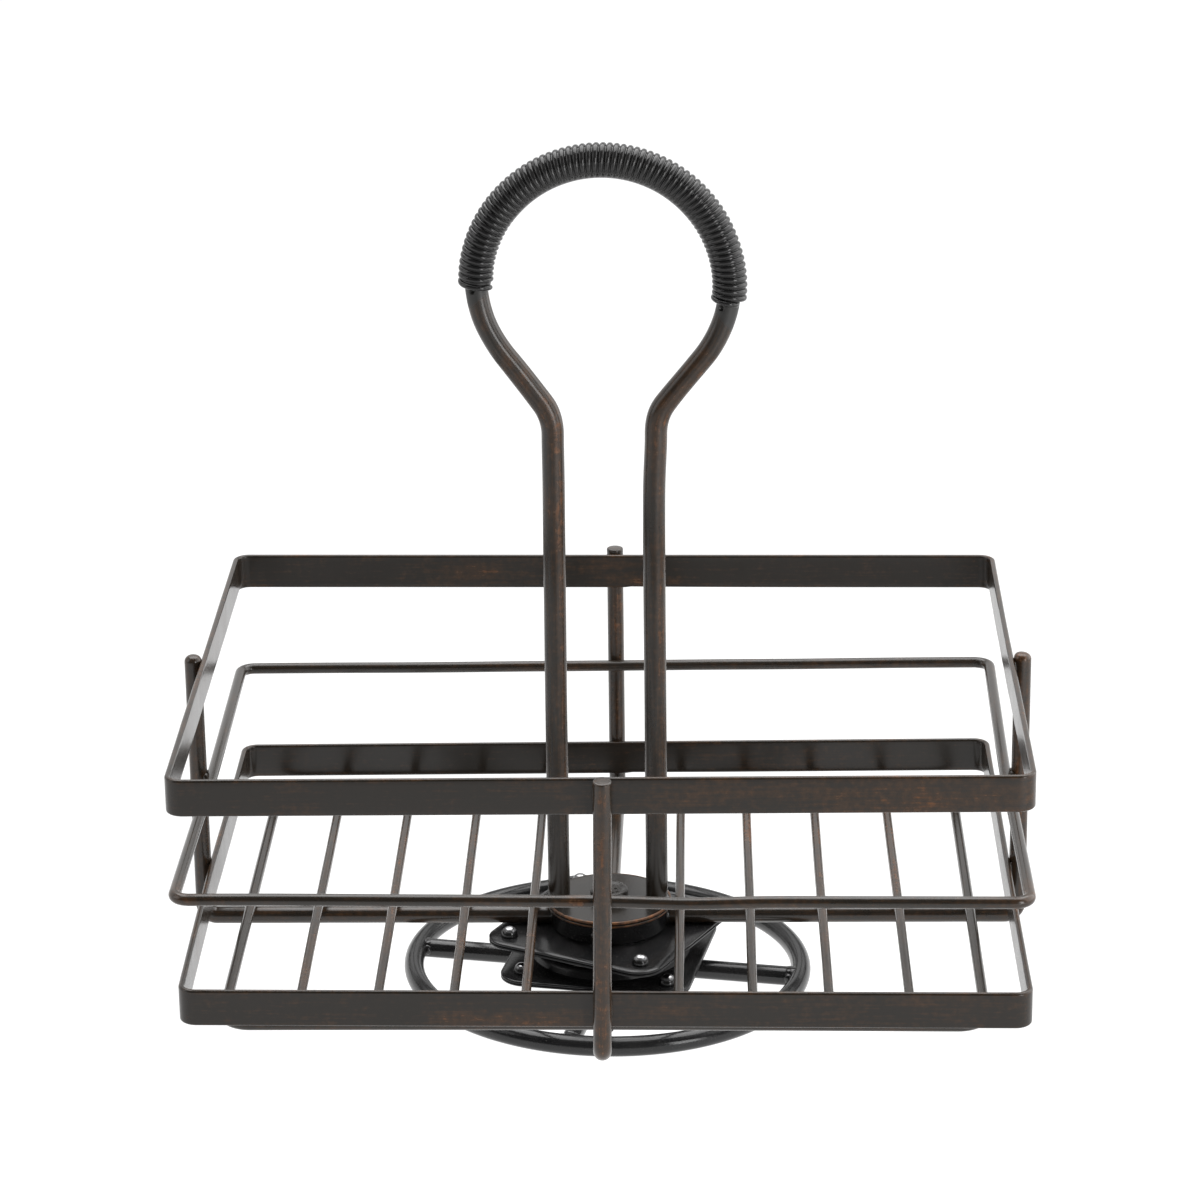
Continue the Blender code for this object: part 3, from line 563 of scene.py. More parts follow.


# ---- Rivets ----
# A domed steel rivet near each corner holds each sheet to its mounting plate. The sides of
# their smooth heads are black, partly paint and partly painted shade, and the tops are bare.
# Their tails are turned over below.
RIVET_CIRCLE = (PLATE_SIDE / 2 - 0.008) * math.sqrt(2)
RIVET_SEAT = 0.0003
LOWER_FACE = 0.0097
UPPER_FACE = 0.0198
rivet_dome = [
    (0.00310 * math.cos(a) ** 0.85, 0.00360 * math.sin(a))
    for a in np.linspace(0.06, NEAR_POLE, 12)]
rivet_profile = np.array([
    (0.0021, -0.0039), (0.0024, -0.0036), (0.0024, -0.0028), (0.0015, -0.0027),
    (0.0015, -0.0001), (0.0027, -0.0001), (0.0030, 0.0000)] + rivet_dome)
for prefix, body, level, turn in (
        ("lower_rivet", "base", LOWER_FACE, CROSS_TURN),
        ("upper_rivet", "carrier", UPPER_FACE, UPPER_TURN)):
    for number in range(4):
        spot = polar(RIVET_CIRCLE, turn + math.pi / 4 + number * math.pi / 2)
        rivet_grid = turned_grid(rivet_profile + (0, level - RIVET_SEAT), 28, spot)
        rivet_out = np.hypot(rivet_grid[..., 0] - spot[0], rivet_grid[..., 1] - spot[1])
        # The bare mark is 1 on the head's top and 0 on its sides and below the plate, which are
        # black: partly paint and partly painted shade.
        rivet_bare_top_shaded_sides = np.clip((0.0026 - rivet_out) / 0.0006, 0, 1) * (rivet_grid[..., 2] > level)
        node = f"{prefix}_{number + 1}"
        rivet = piece(node + "_dome", [shell(rivet_grid, marks={"bare": rivet_bare_top_shaded_sides})], worn_steel(
            node + "_steel", (0.40, 0.40, 0.41), 0.12, 0.22, (0.15, 0.145, 0.14), dark_sides=True))
        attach(rivet, body)
        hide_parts(node)


# ---- Pivot pin ----
# A turned steel pin ties the hub down to the base. Its round head stands on the hub disc, a
# little flared at its foot, with a small dimple beside its middle. It is painted like the disc.
PIN_TOP = 0.0333
PIN_FOOT = 0.0085
DIMPLE_X = 0.0023
DIMPLE_DEPTH = 0.0009


def patch_sum(points, patches):
    """How far the dark coat is rubbed at each point, and on the handle also painted light:
    a sum of soft patches.

    A patch is the three numbers of its middle and the three of its reach, all in millimetres,
    and its depth.
    """
    total = np.zeros(points.shape[:-1])
    for *where, depth in patches:
        middle, reach = 0.001 * np.array(where).reshape(2, 3)
        total += depth * np.exp(-(((points - middle) / reach) ** 2).sum(-1))
    return total


def rubbed_bronze(name, copper=1.0, rough=0.17, worn=0.10, streaks=True, gleam=0.5,
                  dark_top=(0.0215, 0.0160, 0.0118)):
    """Oil-rubbed bronze: a near-black lacquer, rubbed brown, and then down to the copper.

    The rub mark on the mesh says how far, and on some pieces it also carries painted light and
    shade. Worn is added to it all over. Long streaks on the strip map and two sizes of cloud are
    added to it, so that brown comes through in strokes and copper in specks. Where the matt mark
    is high, a dip of satin black covers the lacquer.
    """
    coat = Nodes(bpy.data.materials.new(name))
    strokes = coat.noise(1.0, 4.0, 0.6, coat.add(
        "Mapping", coat.add("UVMap", uv_map="strip"), Scale=(55.0, 900.0, 1.0)))
    cloud = coat.noise(42.0, 5.0, 0.62)
    speck = coat.noise(420.0, 3.0, 0.6)
    rub = coat.add("Attribute", attribute_name="rub", out="Fac")
    matt = coat.add("Attribute", attribute_name="matt", out="Fac")
    low, high, share = (1.75, 2.65, 1.6) if streaks else (1.25, 2.05, 0.6)
    broken = coat.part_of(cloud, 0.9, coat.part_of(strokes, share, speck))
    everywhere = coat.add("Math", coat.spread(broken, low, high, clamp=False), worn)
    through = coat.part_of(rub, 1.0, everywhere)
    browned = coat.step(through, 0.02, 0.85)
    bared = coat.step(through, 0.70, 1.40, copper)
    dark = coat.ramp(cloud, 0.30, 0.72, (0.0150, 0.0118, 0.0086), dark_top)
    brown = coat.ramp(speck, 0.35, 0.70, (0.031, 0.0165, 0.0078), (0.048, 0.0245, 0.0115))
    warm = coat.ramp(speck, 0.35, 0.70, (0.078, 0.033, 0.0120), (0.170, 0.068, 0.025))
    colour = coat.blend(bared, coat.blend(browned, dark, brown), warm)
    gloss = coat.part_of(cloud, 0.13, coat.spread(bared, 0.0, 1.0, rough, rough + 0.14))
    return coat.coat(
        coat.blend(matt, colour, (0.0210, 0.0205, 0.0190)), coat.part_of(matt, 0.20, gloss),
        gleam, metal=coat.spread(bared, 0.0, 1.0, 0.0, 0.40),
        relief=(coat.part_of(strokes, 0.6, coat.noise(1500.0, 2.0)), 0.07, 0.00010))


pin_profile = [
    (0.0002, PIN_FOOT), (0.0088, PIN_FOOT), (0.0090, PIN_FOOT + 0.0002),
    (0.0090, PIN_FOOT + 0.0014), (0.0088, PIN_FOOT + 0.0015), (0.0030, PIN_FOOT + 0.0016),
    (0.0030, 0.0297), (0.0063, 0.0297), (0.0068, 0.0300), (0.00700, 0.0306), (0.00700, 0.0322),
    (0.00685, 0.0328), (0.0065, 0.0332), (0.0061, PIN_TOP), (0.0057, PIN_TOP),
    (0.0053, PIN_TOP - 0.00012), (0.0050, PIN_TOP - 0.00045), (0.0046, PIN_TOP - 0.00055),
    (0.0042, PIN_TOP - 0.00050)]
pin_profile += [(radius, PIN_TOP - 0.00015) for radius in np.linspace(0.0039, 0.0002, 34)]
pin_grid = turned_grid(pin_profile, 72)
from_dimple = np.hypot(pin_grid[..., 0] - DIMPLE_X, pin_grid[..., 1] + 0.0002)
pin_face = (np.hypot(pin_grid[..., 0], pin_grid[..., 1]) < 0.0040) & (pin_grid[..., 2] > 0.031)
pin_grid[..., 2] -= DIMPLE_DEPTH * pin_face * np.exp(-(from_dimple / 0.00055) ** 4)
pin_rub = patch_sum(pin_grid, [(4, -4, 1000 * PIN_TOP, 4, 4, 0.8, 0.25)])
pin = piece("pivot_pin_head", [shell(pin_grid, marks={"rub": pin_rub})], rubbed_bronze(
    "pin_bronze", copper=0.0, rough=0.22, worn=-0.40, streaks=False, gleam=0.35,
    dark_top=(0.016, 0.0155, 0.0155)))
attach(pin, "base")
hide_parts("pivot_pin")


# ---- Hub drum and hub disc ----
# A short black drum stands on the upper plate and the four floor rods run up to it. On top
# lies a round plate with a rolled rim that carries the handle. Copper shows along the rim,
# partly wear and partly a painted highlight on its two beads, strongest at the front right.
DISC_RADIUS = 0.0228
DISC_LOW = 0.0270
DISC_TOP = 0.0294
DISC_FACE = 0.0221
DISC_SEAM = DISC_LOW + 0.00108
RIM = 0.0006
LOWER_RIM = 0.00055
DRUM_RADIUS = 0.0211


def slow_waves(distance, seed, longest, count=5):
    """Sum of sines, each shorter than the one before, about 1 high: hand-made unevenness."""
    dice = np.random.default_rng(seed)
    total = np.zeros_like(distance, float)
    for step in range(count):
        length = longest / 1.9 ** step
        total += np.sin(2 * np.pi * distance / length + dice.uniform(0, 6.28)) / (1 + 0.6 * step)
    return total / 2.2


def corner_arc(centre, radius, start, end, steps):
    """Points of an arc in the upright plane of distance and height."""
    return centre + polar(radius, np.linspace(start, end, steps))


drum_profile = [
    (PIN_BORE, UPPER_FACE), (DRUM_RADIUS - 0.0003, UPPER_FACE), (DRUM_RADIUS, 0.0201),
    (DRUM_RADIUS, 0.0255), (DRUM_RADIUS + 0.0004, 0.0262), (DRUM_RADIUS + 0.0004, 0.0267),
    (DRUM_RADIUS - 0.0002, DISC_LOW), (PIN_BORE, DISC_LOW)]
drum = piece("hub_drum_body", [shell(turned_grid(drum_profile, 120), path_closed=True)],
             black_enamel("drum_enamel", gleam=0.35))
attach(drum, "carrier")
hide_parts("hub_drum")

face_out = np.linspace(DISC_FACE, PIN_BORE, 46)
face_dish = 0.00012 * np.minimum(1.0, (DISC_FACE - face_out) / 0.0004)
disc_profile = np.concatenate([
    [(PIN_BORE, DISC_LOW + 0.0001), (0.012, DISC_LOW + 0.0001)],
    corner_arc(
        (DISC_RADIUS - RIM, DISC_LOW + LOWER_RIM), LOWER_RIM, -np.pi / 2, np.pi * 0.48, 12),
    [(DISC_RADIUS - 0.0010, DISC_SEAM)],
    corner_arc((DISC_RADIUS - RIM, DISC_TOP - RIM), RIM, -np.pi * 0.48, np.pi / 2, 12),
    np.stack([face_out, DISC_TOP - face_dish], -1)])
disc_grid = turned_grid(disc_profile, 180)
disc_edge = np.clip((np.hypot(disc_grid[..., 0], disc_grid[..., 1]) - 0.0216) / 0.0005, 0, 1)
disc_bearing = np.arctan2(disc_grid[..., 1], disc_grid[..., 0])
disc_groove = np.exp(-((disc_grid[..., 2] - DISC_SEAM) / 0.00022) ** 2)
# The rim's copper is partly wear and partly a painted highlight on its two beads, kept out of the
# groove between them and strongest at the front right.
disc_rub_and_painted_highlight = disc_edge * (1.25 + 0.30 * slow_waves(disc_bearing * DISC_RADIUS, 4, 0.07))
disc_rub_and_painted_highlight = disc_rub_and_painted_highlight * (1 - disc_groove) + 0.30 * disc_edge * np.cos(disc_bearing + 0.5)
disc = piece("hub_disc_plate", [shell(disc_grid, path_closed=True, marks={"rub": disc_rub_and_painted_highlight})],
             rubbed_bronze("disc_bronze", rough=0.18, worn=-0.25, streaks=False, gleam=0.37,
                           dark_top=(0.0145, 0.0147, 0.0152)))
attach(disc, "carrier")
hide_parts("hub_disc")


# ---- Uprights and floor rods ----
# Four round rods, 6 mm thick. Each stands outside the bands near the middle of a side, bends
# under the floor and runs in to the hub. The front one is cut off a little aslant, the back one
# square, and the others are rounded.
ROD = 0.00315
ROD_BEND = 0.0046
FLOOR_ROD_LEVEL = 0.0228
HALF_UP = 0.074
UPRIGHT_X = 0.14915
UPRIGHT_Y = 0.11815
LEAN_FRONT = 0.00055
LEAN_BACK = 0.0008
FRONT_ASIDE = -0.0030


def end_stations(radius, rounding, steps=7):
    """Distances back from a rounded rod end, and the rod's radius at each."""
    a = np.linspace(0, np.pi / 2, steps)
    return rounding * (1 - np.cos(a)), radius - rounding + rounding * np.sin(a)


def distance_along(route):
    """How far along the route each of its points lies."""
    return running_total(np.linalg.norm(np.diff(route, axis=0), axis=1))


def upright_grid(side, turn, tip_level, lean, tilt, aside, rounding, slant, seed):
    """A rod down the outside of the basket, round its bend and in under the floor to the hub.

    The route is given as (distance from the axis, height) and turned about the axis. A slant
    tilts the rings near the tip, so that the rod ends in an oblique cut. The lean moves the
    rod along the basket, by more the farther out it is, and the tilt adds to it above half
    height and takes from it below. Aside moves its inner end, and less the farther out it is.
    """
    back, thin = end_stations(ROD, rounding)
    elbow = FLOOR_ROD_LEVEL + ROD_BEND
    tip = np.stack([np.full(len(back), side), tip_level - back], -1)
    fall = straight((side, tip_level - rounding - 0.001), (side, elbow), 0.0014)
    bend = corner_arc((side - ROD_BEND, elbow), ROD_BEND, 0, -np.pi / 2, 16)
    floor = straight(
        (side - ROD_BEND, FLOOR_ROD_LEVEL), (DRUM_RADIUS - 0.0006, FLOOR_ROD_LEVEL), 0.002)
    plane = np.concatenate([tip, fall, bend[1:], floor[1:]])
    route = np.insert(plane, 1, 0.0, axis=1)
    distance = distance_along(route)
    radius = np.concatenate([thin, np.full(len(plane) - len(thin), ROD)])
    radius = radius * (1 - 0.012 * np.abs(slow_waves(distance, seed, 0.08)) * (distance > 0.004))
    run = np.gradient(route, axis=0)
    run[:len(tip) + len(fall)] = (0, 0, -1)
    grid = swept_rod(route, radius, (0, 1, 0), 32, run=run)
    near_tip = np.clip(1 - distance / 0.006, 0, 1)[:, None]
    grid[..., 2] -= slant * np.clip(grid[..., 0] - side + ROD, 0, None) * near_tip
    out = np.hypot(grid[..., 0], grid[..., 1]) / side
    off_plumb = lean + tilt * (grid[..., 2] - HALF_UP) / (HALF_UP - FLOOR_ROD_LEVEL)
    grid = turned(grid, turn)
    grid[..., 0] += off_plumb * out + aside * np.clip(1 - out, 0, 1)
    return grid


for node, side, turn, tip_level, lean, tilt, aside, rounding, slant, patches in (
        ("upright_front", UPRIGHT_Y, -math.pi / 2, 0.1243,
         LEAN_FRONT, 0.00055, FRONT_ASIDE, 0.0006, 0.13, [
             (0, -121.3, 50, 4, 3, 22, 0.55), (0, -121.3, 30, 4, 6, 10, 0.40),
             (0.5, -121.3, 98, 2.6, 4, 16, 0.62), (1, -121.3, 118, 2, 3, 3, 0.55)]),
        ("upright_back", UPRIGHT_Y, math.pi / 2, 0.1243, LEAN_BACK, 0.0, 0.0, 0.0005, 0.0, [
            (2, 115.5, 98, 3, 4, 16, 0.60), (2, 115.5, 60, 3, 4, 12, 0.45)]),
        ("upright_left", UPRIGHT_X, math.pi, 0.1248, 0.0003, 0.0, 0.0, 0.0024, 0.0, [
            (-150, -2, 80, 4, 4, 30, 0.35), (-80, -2, 25, 30, 4, 4, 0.25)]),
        ("upright_right", UPRIGHT_X, 0.0, 0.1250, 0.0, 0.0, 0.0, 0.0022, 0.10, [
            (150, -2, 85, 4, 4, 40, 0.55), (149, -1, 124, 4, 4, 3, 0.60)])):
    rod_grid = upright_grid(
        side, turn, tip_level, lean, tilt, aside, rounding, slant, sum(map(ord, node)))
    rod_rub_and_hub_shade = patch_sum(rod_grid, patches)
    # The floor rods are darker towards the hub: painted shade.
    rod_rub_and_hub_shade -= 0.22 * np.clip(1 - np.hypot(rod_grid[..., 0], rod_grid[..., 1]) / 0.10, 0, 1)
    upright = piece(node + "_rod", [shell(rod_grid, marks={"rub": rod_rub_and_hub_shade})],
                    rubbed_bronze(node + "_bronze", worn=0.28), sharp=50.0)
    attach(upright, "carrier")
    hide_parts(node)


# ---- Floor loop and floor wires ----
# A wire loop with rounded corners is welded on top of the four floor rods, and eight thinner
# wires lie across it from front to back, four on each side of the hub. Same dark bronze coat.
LOOP_WIRE = 0.0019
LOOP_LEVEL = 0.0280
LOOP_X = 0.1315
LOOP_Y = 0.1042
LOOP_SAG = 0.0009
CROSS_WIRE = 0.0017
CROSS_LEVEL = 0.0318
WIRE_PITCH = 0.0263
SET_BACK_Y = 0.020
SET_FRONT_Y = -0.075


def rounded_loop(half_x, half_y, corner, step):
    """Evenly spaced points round a rectangle with rounded corners, from the middle of the back."""
    a = np.linspace(0, np.pi / 2, max(10, int(corner * np.pi / 2 / (step * 0.35))))[:-1]
    sides = []
    for quarter in range(4):
        flat_a, flat_b = (half_x, half_y) if quarter % 2 == 0 else (half_y, half_x)
        t = np.linspace(0, 1, max(3, int((flat_a - corner) * 2 / step)))[:-1]
        x = np.concatenate([(flat_a - corner) * (1 - 2 * t), corner - flat_a - corner * np.sin(a)])
        y = np.concatenate([np.full(len(t), flat_b), flat_b - corner + corner * np.cos(a)])
        sides.append(turned(np.stack([x, y], -1), quarter * math.pi / 2))
    return np.concatenate(sides)


def loop_sag(x, y):
    """How far the floor's frame hangs, all of it at its front right corner."""
    return LOOP_SAG * np.clip(x / LOOP_X, 0, 1) * np.clip(-y / LOOP_Y, 0, 1)


loop_flat = rounded_loop(LOOP_X, LOOP_Y, 0.010, 0.003)
loop_route = raised(loop_flat, LOOP_LEVEL - loop_sag(loop_flat[:, 0], loop_flat[:, 1]))
loop_grid = swept_rod(loop_route, LOOP_WIRE, UP, 24, path_closed=True)
loop_rub = patch_sum(loop_grid, [(-90, -104, 28, 50, 4, 4, 0.25), (100, -104, 28, 30, 4, 4, 0.25)])
floor_loop = piece(
    "floor_loop_wire", [shell(loop_grid, path_closed=True, marks={"rub": loop_rub})],
    rubbed_bronze("floor_loop_bronze"))
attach(floor_loop, "carrier")
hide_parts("floor_loop")

wire_back, wire_thin = end_stations(CROSS_WIRE, 0.0005, 4)
wire_reach = LOOP_Y + LOOP_WIRE
wire_y = np.concatenate([
    -wire_reach + wire_back, np.linspace(-wire_reach + 0.002, wire_reach - 0.002, 90),
    (wire_reach - wire_back)[::-1]])
wire_radius = np.concatenate([wire_thin, np.full(90, CROSS_WIRE), wire_thin[::-1]])
# Each wire was set a little to one side: by so many millimetres at the two places named above.
for number, (step, set_back, set_front) in enumerate((
        (-4, -0.45, -0.10), (-3, 0.20, 0.50), (-2, 0.35, 0.50), (-1, -0.90, -0.80),
        (1, -0.40, -0.40), (2, -1.40, -1.07), (3, -1.60, -1.10), (4, -0.15, 0.38)), start=1):
    wire_x = step * WIRE_PITCH
    sway = 0.00012 * slow_waves(wire_y, 30 + number, 0.21, 2)
    forwards = (SET_BACK_Y - wire_y) / (SET_BACK_Y - SET_FRONT_Y)
    sway += 0.001 * (set_back + (set_front - set_back) * forwards)
    wire_route = np.stack([wire_x + sway, wire_y, CROSS_LEVEL - loop_sag(wire_x, wire_y)], -1)
    wire_grid = swept_rod(wire_route, wire_radius, UP, 20)
    dice = np.random.default_rng(200 + number)
    wire_rub = patch_sum(wire_grid, [
        (1000 * wire_x, dice.uniform(-90, 90), 33, 4, dice.uniform(20, 50), 3,
         dice.uniform(0.2, 0.6)) for _ in range(3)])
    wire = piece(f"floor_wire_{number}_rod", [shell(wire_grid, marks={"rub": wire_rub})],
                 rubbed_bronze(f"floor_wire_{number}_bronze"))
    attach(wire, "carrier")
    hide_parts(f"floor_wire_{number}")


# ---- Top band and bottom band ----
# Each is a flat steel strip, 13 by 2 mm, stood on edge and bent round to a rectangle. Its ends
# meet at the back, not quite level. The coat is worn along its edges and rubbed on its faces.
BAND_X = 0.146
BAND_Y = 0.115
BAND_WALL = 0.002
BAND_HEIGHT = 0.0132
BAND_EDGE = 0.0009
BAND_SEAM = 0.0055


def corner_set(x, y, front_left, front_right, back_left, back_right):
    """Hand-made unevenness: the four corners' values in millimetres, blended across the basket."""
    right, back = (x / BAND_X + 1) / 2, (y / BAND_Y + 1) / 2
    front = front_left + (front_right - front_left) * right
    rear = back_left + (back_right - back_left) * right
    return 0.001 * (front + (rear - front) * back)


def band_section():
    """Closed outline of the strip, as (out from its middle, up from its foot), edges rounded."""
    half, low, high = BAND_WALL / 2 - BAND_EDGE, BAND_EDGE, BAND_HEIGHT - BAND_EDGE
    rise = np.linspace(low, high, 9)[1:-1]
    parts = []
    for x, z, quarter in ((half, low, -1), (half, high, 0), (-half, high, 1), (-half, low, 2)):
        parts.append(corner_arc(
            (x, z), BAND_EDGE, quarter * np.pi / 2, (quarter + 1) * np.pi / 2, 9))
        if quarter in (-1, 1):
            parts.append(np.stack([np.full(7, parts[-1][-1, 0]), rise[::-quarter]], -1))
    return np.concatenate(parts).T


def band_grid(foot, seed, rise, shift):
    """The strip's outline carried round the basket. Its faces wander a little, as bent strip does.

    Rise lifts its four corners, and shift moves them along the basket, from nothing at the
    uprights in the middle of the short sides.
    """
    flat = rounded_loop(BAND_X - BAND_WALL / 2, BAND_Y - BAND_WALL / 2, 0.005, 0.0022)
    run = np.roll(flat, -1, axis=0) - np.roll(flat, 1, axis=0)
    outward = np.stack([run[:, 1], -run[:, 0]], -1) / np.linalg.norm(run, axis=1, keepdims=True)
    outward *= np.sign((outward * flat).sum(1))[:, None]
    out, up = band_section()
    distance = distance_along(flat)
    past_seam = flat[:, 0] - BAND_SEAM
    seam = np.where(past_seam > 0, np.exp(-past_seam / 0.030), 0.0) * (flat[:, 1] > BAND_Y - 0.004)
    wander = 0.00010 * slow_waves(distance, seed, 0.11)[:, None]
    spread = out - 0.5 * wander * (np.abs(out) > 0.0009) * np.sign(out)
    x, y = flat[:, :1] + outward[:, :1] * spread, flat[:, 1:] + outward[:, 1:] * spread
    z = foot + up + 0.00030 * seam[:, None] * (up < BAND_HEIGHT / 2) + corner_set(x, y, *rise)
    edge = np.exp(-np.minimum(up, BAND_HEIGHT - up) / 0.00055)
    x = x + corner_set(x, y, *shift) * np.abs(y) / BAND_Y
    return np.stack([x, y, z], -1), edge + 0 * x, distance


for node, foot, seed, rise, shift, patches in (
        ("top_band", 0.1102, 7, (-0.45, 0.55, 0.10, -1.20), (0.0, -0.30, 0.0, 0.65), [
            (115, -115, 116, 60, 4, 10, 0.55), (45, -115, 118, 30, 4, 4, 0.40),
            (20, -115, 114, 16, 4, 3, 0.35), (-20, -115, 120, 20, 4, 3, 0.30),
            (-55, 113, 116, 18, 4, 4, 0.62), (-10, 113, 119, 16, 4, 4, 0.50),
            (15, 113, 112, 16, 4, 2, 0.70), (146, -100, 117, 4, 20, 8, 0.40),
            (-146, 30, 117, 4, 30, 6, 0.35)]),
        ("bottom_band", 0.0323, 8, (0.40, -1.20, -0.90, 0.95), (1.30, 0.40, 0.0, 0.0), [
            (-24, -115, 34.5, 20, 4, 3.6, 0.85), (-50, -115, 35, 12, 4, 3, 0.45),
            (22, -115, 38, 12, 4, 3.5, 0.50), (110, -115, 42, 40, 4, 3, 0.40),
            (80, -115, 36, 15, 4, 3, 0.35), (60, 115, 39, 30, 4, 5, 0.45),
            (-146, -60, 39, 4, 20, 5, 0.40)])):
    strip_grid, edge_mark, distance = band_grid(foot, seed, rise, shift)
    strip_rub = patch_sum(strip_grid, patches)
    strip_rub += edge_mark * (0.38 + 0.34 * slow_waves(distance, seed + 20, 0.16))[:, None]
    band = piece(node + "_strip", [shell(strip_grid, path_closed=True, marks={"rub": strip_rub})],
                 rubbed_bronze(node + "_bronze", worn=0.04, gleam=0.40,
                               dark_top=(0.0175, 0.0132, 0.0100)), sharp=60.0)
    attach(band, "carrier")
    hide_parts(node)


# ---- Middle rail ----
# A 4 mm round wire bent to the same rectangle, half way up the basket, and welded to the inside
# of the four uprights. Same coat, with more copper at its corners.
RAIL_WIRE = 0.0021
RAIL_LEVEL = 0.078
RAIL_DIP = 0.0008
RAIL_DIP_X = 0.030
rail_flat = rounded_loop(BAND_X - RAIL_WIRE, BAND_Y - RAIL_WIRE, 0.0052, 0.0025)
rail_x, rail_y = rail_flat.T
rail_dip = RAIL_DIP * np.exp(-((rail_x - RAIL_DIP_X) / 0.018) ** 2) * (rail_y < -0.10)
rail_route = raised(rail_flat, RAIL_LEVEL - rail_dip
                    + 0.00015 * slow_waves(distance_along(rail_flat), 3, 0.26, 3)
                    + corner_set(rail_x, rail_y, 0.85, -0.93, -1.15, 0.60))
rail_route[:, 0] += (
    corner_set(rail_x, rail_y, -0.80, 0.75, -1.05, 1.50) * np.abs(rail_y) / BAND_Y)
rail_grid = swept_rod(rail_route, RAIL_WIRE, UP, 28, path_closed=True)
rail_rub = patch_sum(rail_grid, [
    (-8, -115, 79, 3.5, 4, 3, 0.90), (-143, -110, 79, 12, 12, 4, 0.60),
    (143, -108, 79, 20, 12, 4, 0.60), (60, -113, 77, 30, 4, 3, 0.45),
    (-20, -113, 77, 20, 4, 3, 0.40), (100, 112, 77, 40, 4, 3, 0.55),
    (-30, 112, 77, 25, 4, 3, 0.45)])
rail = piece("middle_rail_wire", [shell(rail_grid, path_closed=True, marks={"rub": rail_rub})],
             rubbed_bronze("middle_rail_bronze"))
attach(rail, "carrier")
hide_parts("middle_rail")


# ---- Handle rod ----
# One 8 mm rod: two legs stand on the hub disc, bend outwards and close in a round loop. A small
# hole is drilled in it just below each end of the grip, for the end of the grip's wire.
HANDLE_ROD = 0.0040
LEG_X = 0.0179
LEG_BEND = 0.019
LOOP_R = 0.044
LOOP_Z = 0.2622
NECK = math.radians(38.0)
GRIP_LEFT = math.pi + math.radians(1.2)
GRIP_RIGHT = -math.radians(8.9)
DIP_FLOOR = 0.235
HOLE = 0.00100
HOLE_EDGE = 0.00045
HOLE_SINK = 0.32


def hand_bent(points):
    """The handle as the hand bent it: each side moved along X by a few tenths of a millimetre.

    The moves are read, by height, off two tables in millimetres that are smoothed by a bell
    curve 5 mm wide.
    """
    level = np.arange(0.0, 0.340, 0.001)
    bell = np.exp(-(np.arange(-12, 13) / 5.0) ** 2)
    heights = (29, 107, 126, 141, 171, 189, 208, 213.5, 219, 226.6, 234, 241.5, 249, 256.4, 266,
               280)
    left = (-.45, -.42, -.33, -.25, -.14, 0, -.09, .12, .74, 1.14, 1.53, 1.42, .75, .60, 0, 0)
    right = (-.45, -.42, -.42, -.45, -.42, -.26, .72, .25, -.23, 0, .39, .37, .50, .60, .40, 0)
    moves = [np.interp(points[..., 2], level, np.convolve(
        np.interp(level * 1000, heights, side), bell / bell.sum(), "same"))
        for side in (left, right)]
    moved = points.copy()
    moved[..., 0] += 0.001 * np.where(points[..., 0] < 0, *moves)
    return moved


touch = np.array([0.0, LOOP_Z]) + LOOP_R * np.array([math.cos(NECK), -math.sin(NECK)])
corner_z = touch[1] - (touch[0] - LEG_X) / math.tan(NECK)
bend_z = corner_z - LEG_BEND * math.tan(NECK / 2)
leg = straight((LEG_X, DISC_TOP), (LEG_X, bend_z), 0.0022)
knee = corner_arc((LEG_X + LEG_BEND, bend_z), LEG_BEND, math.pi, math.pi - NECK, 14)
neck = straight(knee[-1], touch, 0.0018)
hoop = corner_arc((0, LOOP_Z), LOOP_R, -NECK, math.pi + NECK, 520)[1:-1]
right_half = np.concatenate([leg, knee[1:], neck[1:]])
handle_route = np.insert(
    np.concatenate([right_half, hoop, right_half[::-1] * (-1, 1)]), 1, 0.0, axis=1)
handle_grid = swept_rod(handle_route, HANDLE_ROD, (0, 1, 0), 64)
hole_depth = np.zeros(handle_grid.shape[:2])
for bearing, outwards, forwards in (
        (GRIP_LEFT + math.radians(0.8), 0.36, 0.93),
        (GRIP_RIGHT - math.radians(2.6), -0.574, 0.819)):
    out = np.array([math.cos(bearing), 0.0, math.sin(bearing)])
    mouth = (0, 0, LOOP_Z) + LOOP_R * out + HANDLE_ROD * (outwards * out - (0, forwards, 0))
    near = np.linalg.norm(handle_grid - mouth, axis=2)
    hole_depth = np.maximum(hole_depth, np.clip((HOLE - near) / HOLE_EDGE, 0, 1))
inwards = handle_route[:, None] - handle_grid
handle_grid = hand_bent(handle_grid + inwards * HOLE_SINK * hole_depth[..., None])
handle_x, handle_z = handle_grid[..., 0], handle_grid[..., 2]
# The grip's dip runs a little way past both of its ends, and farther outside the bend.
loop_bearing = np.arctan2(handle_z - LOOP_Z, handle_x)
past_end = np.where(
    loop_bearing < -np.pi / 2, loop_bearing + np.pi - math.radians(7.0),
    np.where(loop_bearing > -np.pi / 2, -loop_bearing - math.radians(17.0), 9.0))
past_dip = past_end * LOOP_R - 0.67 * (np.hypot(handle_x, handle_z - LOOP_Z) - LOOP_R)
dipped = 1 - np.clip((past_dip + 0.0006) / 0.0012, 0, 1)
dipped = np.where(handle_z > DIP_FLOOR, dipped, 0.0)
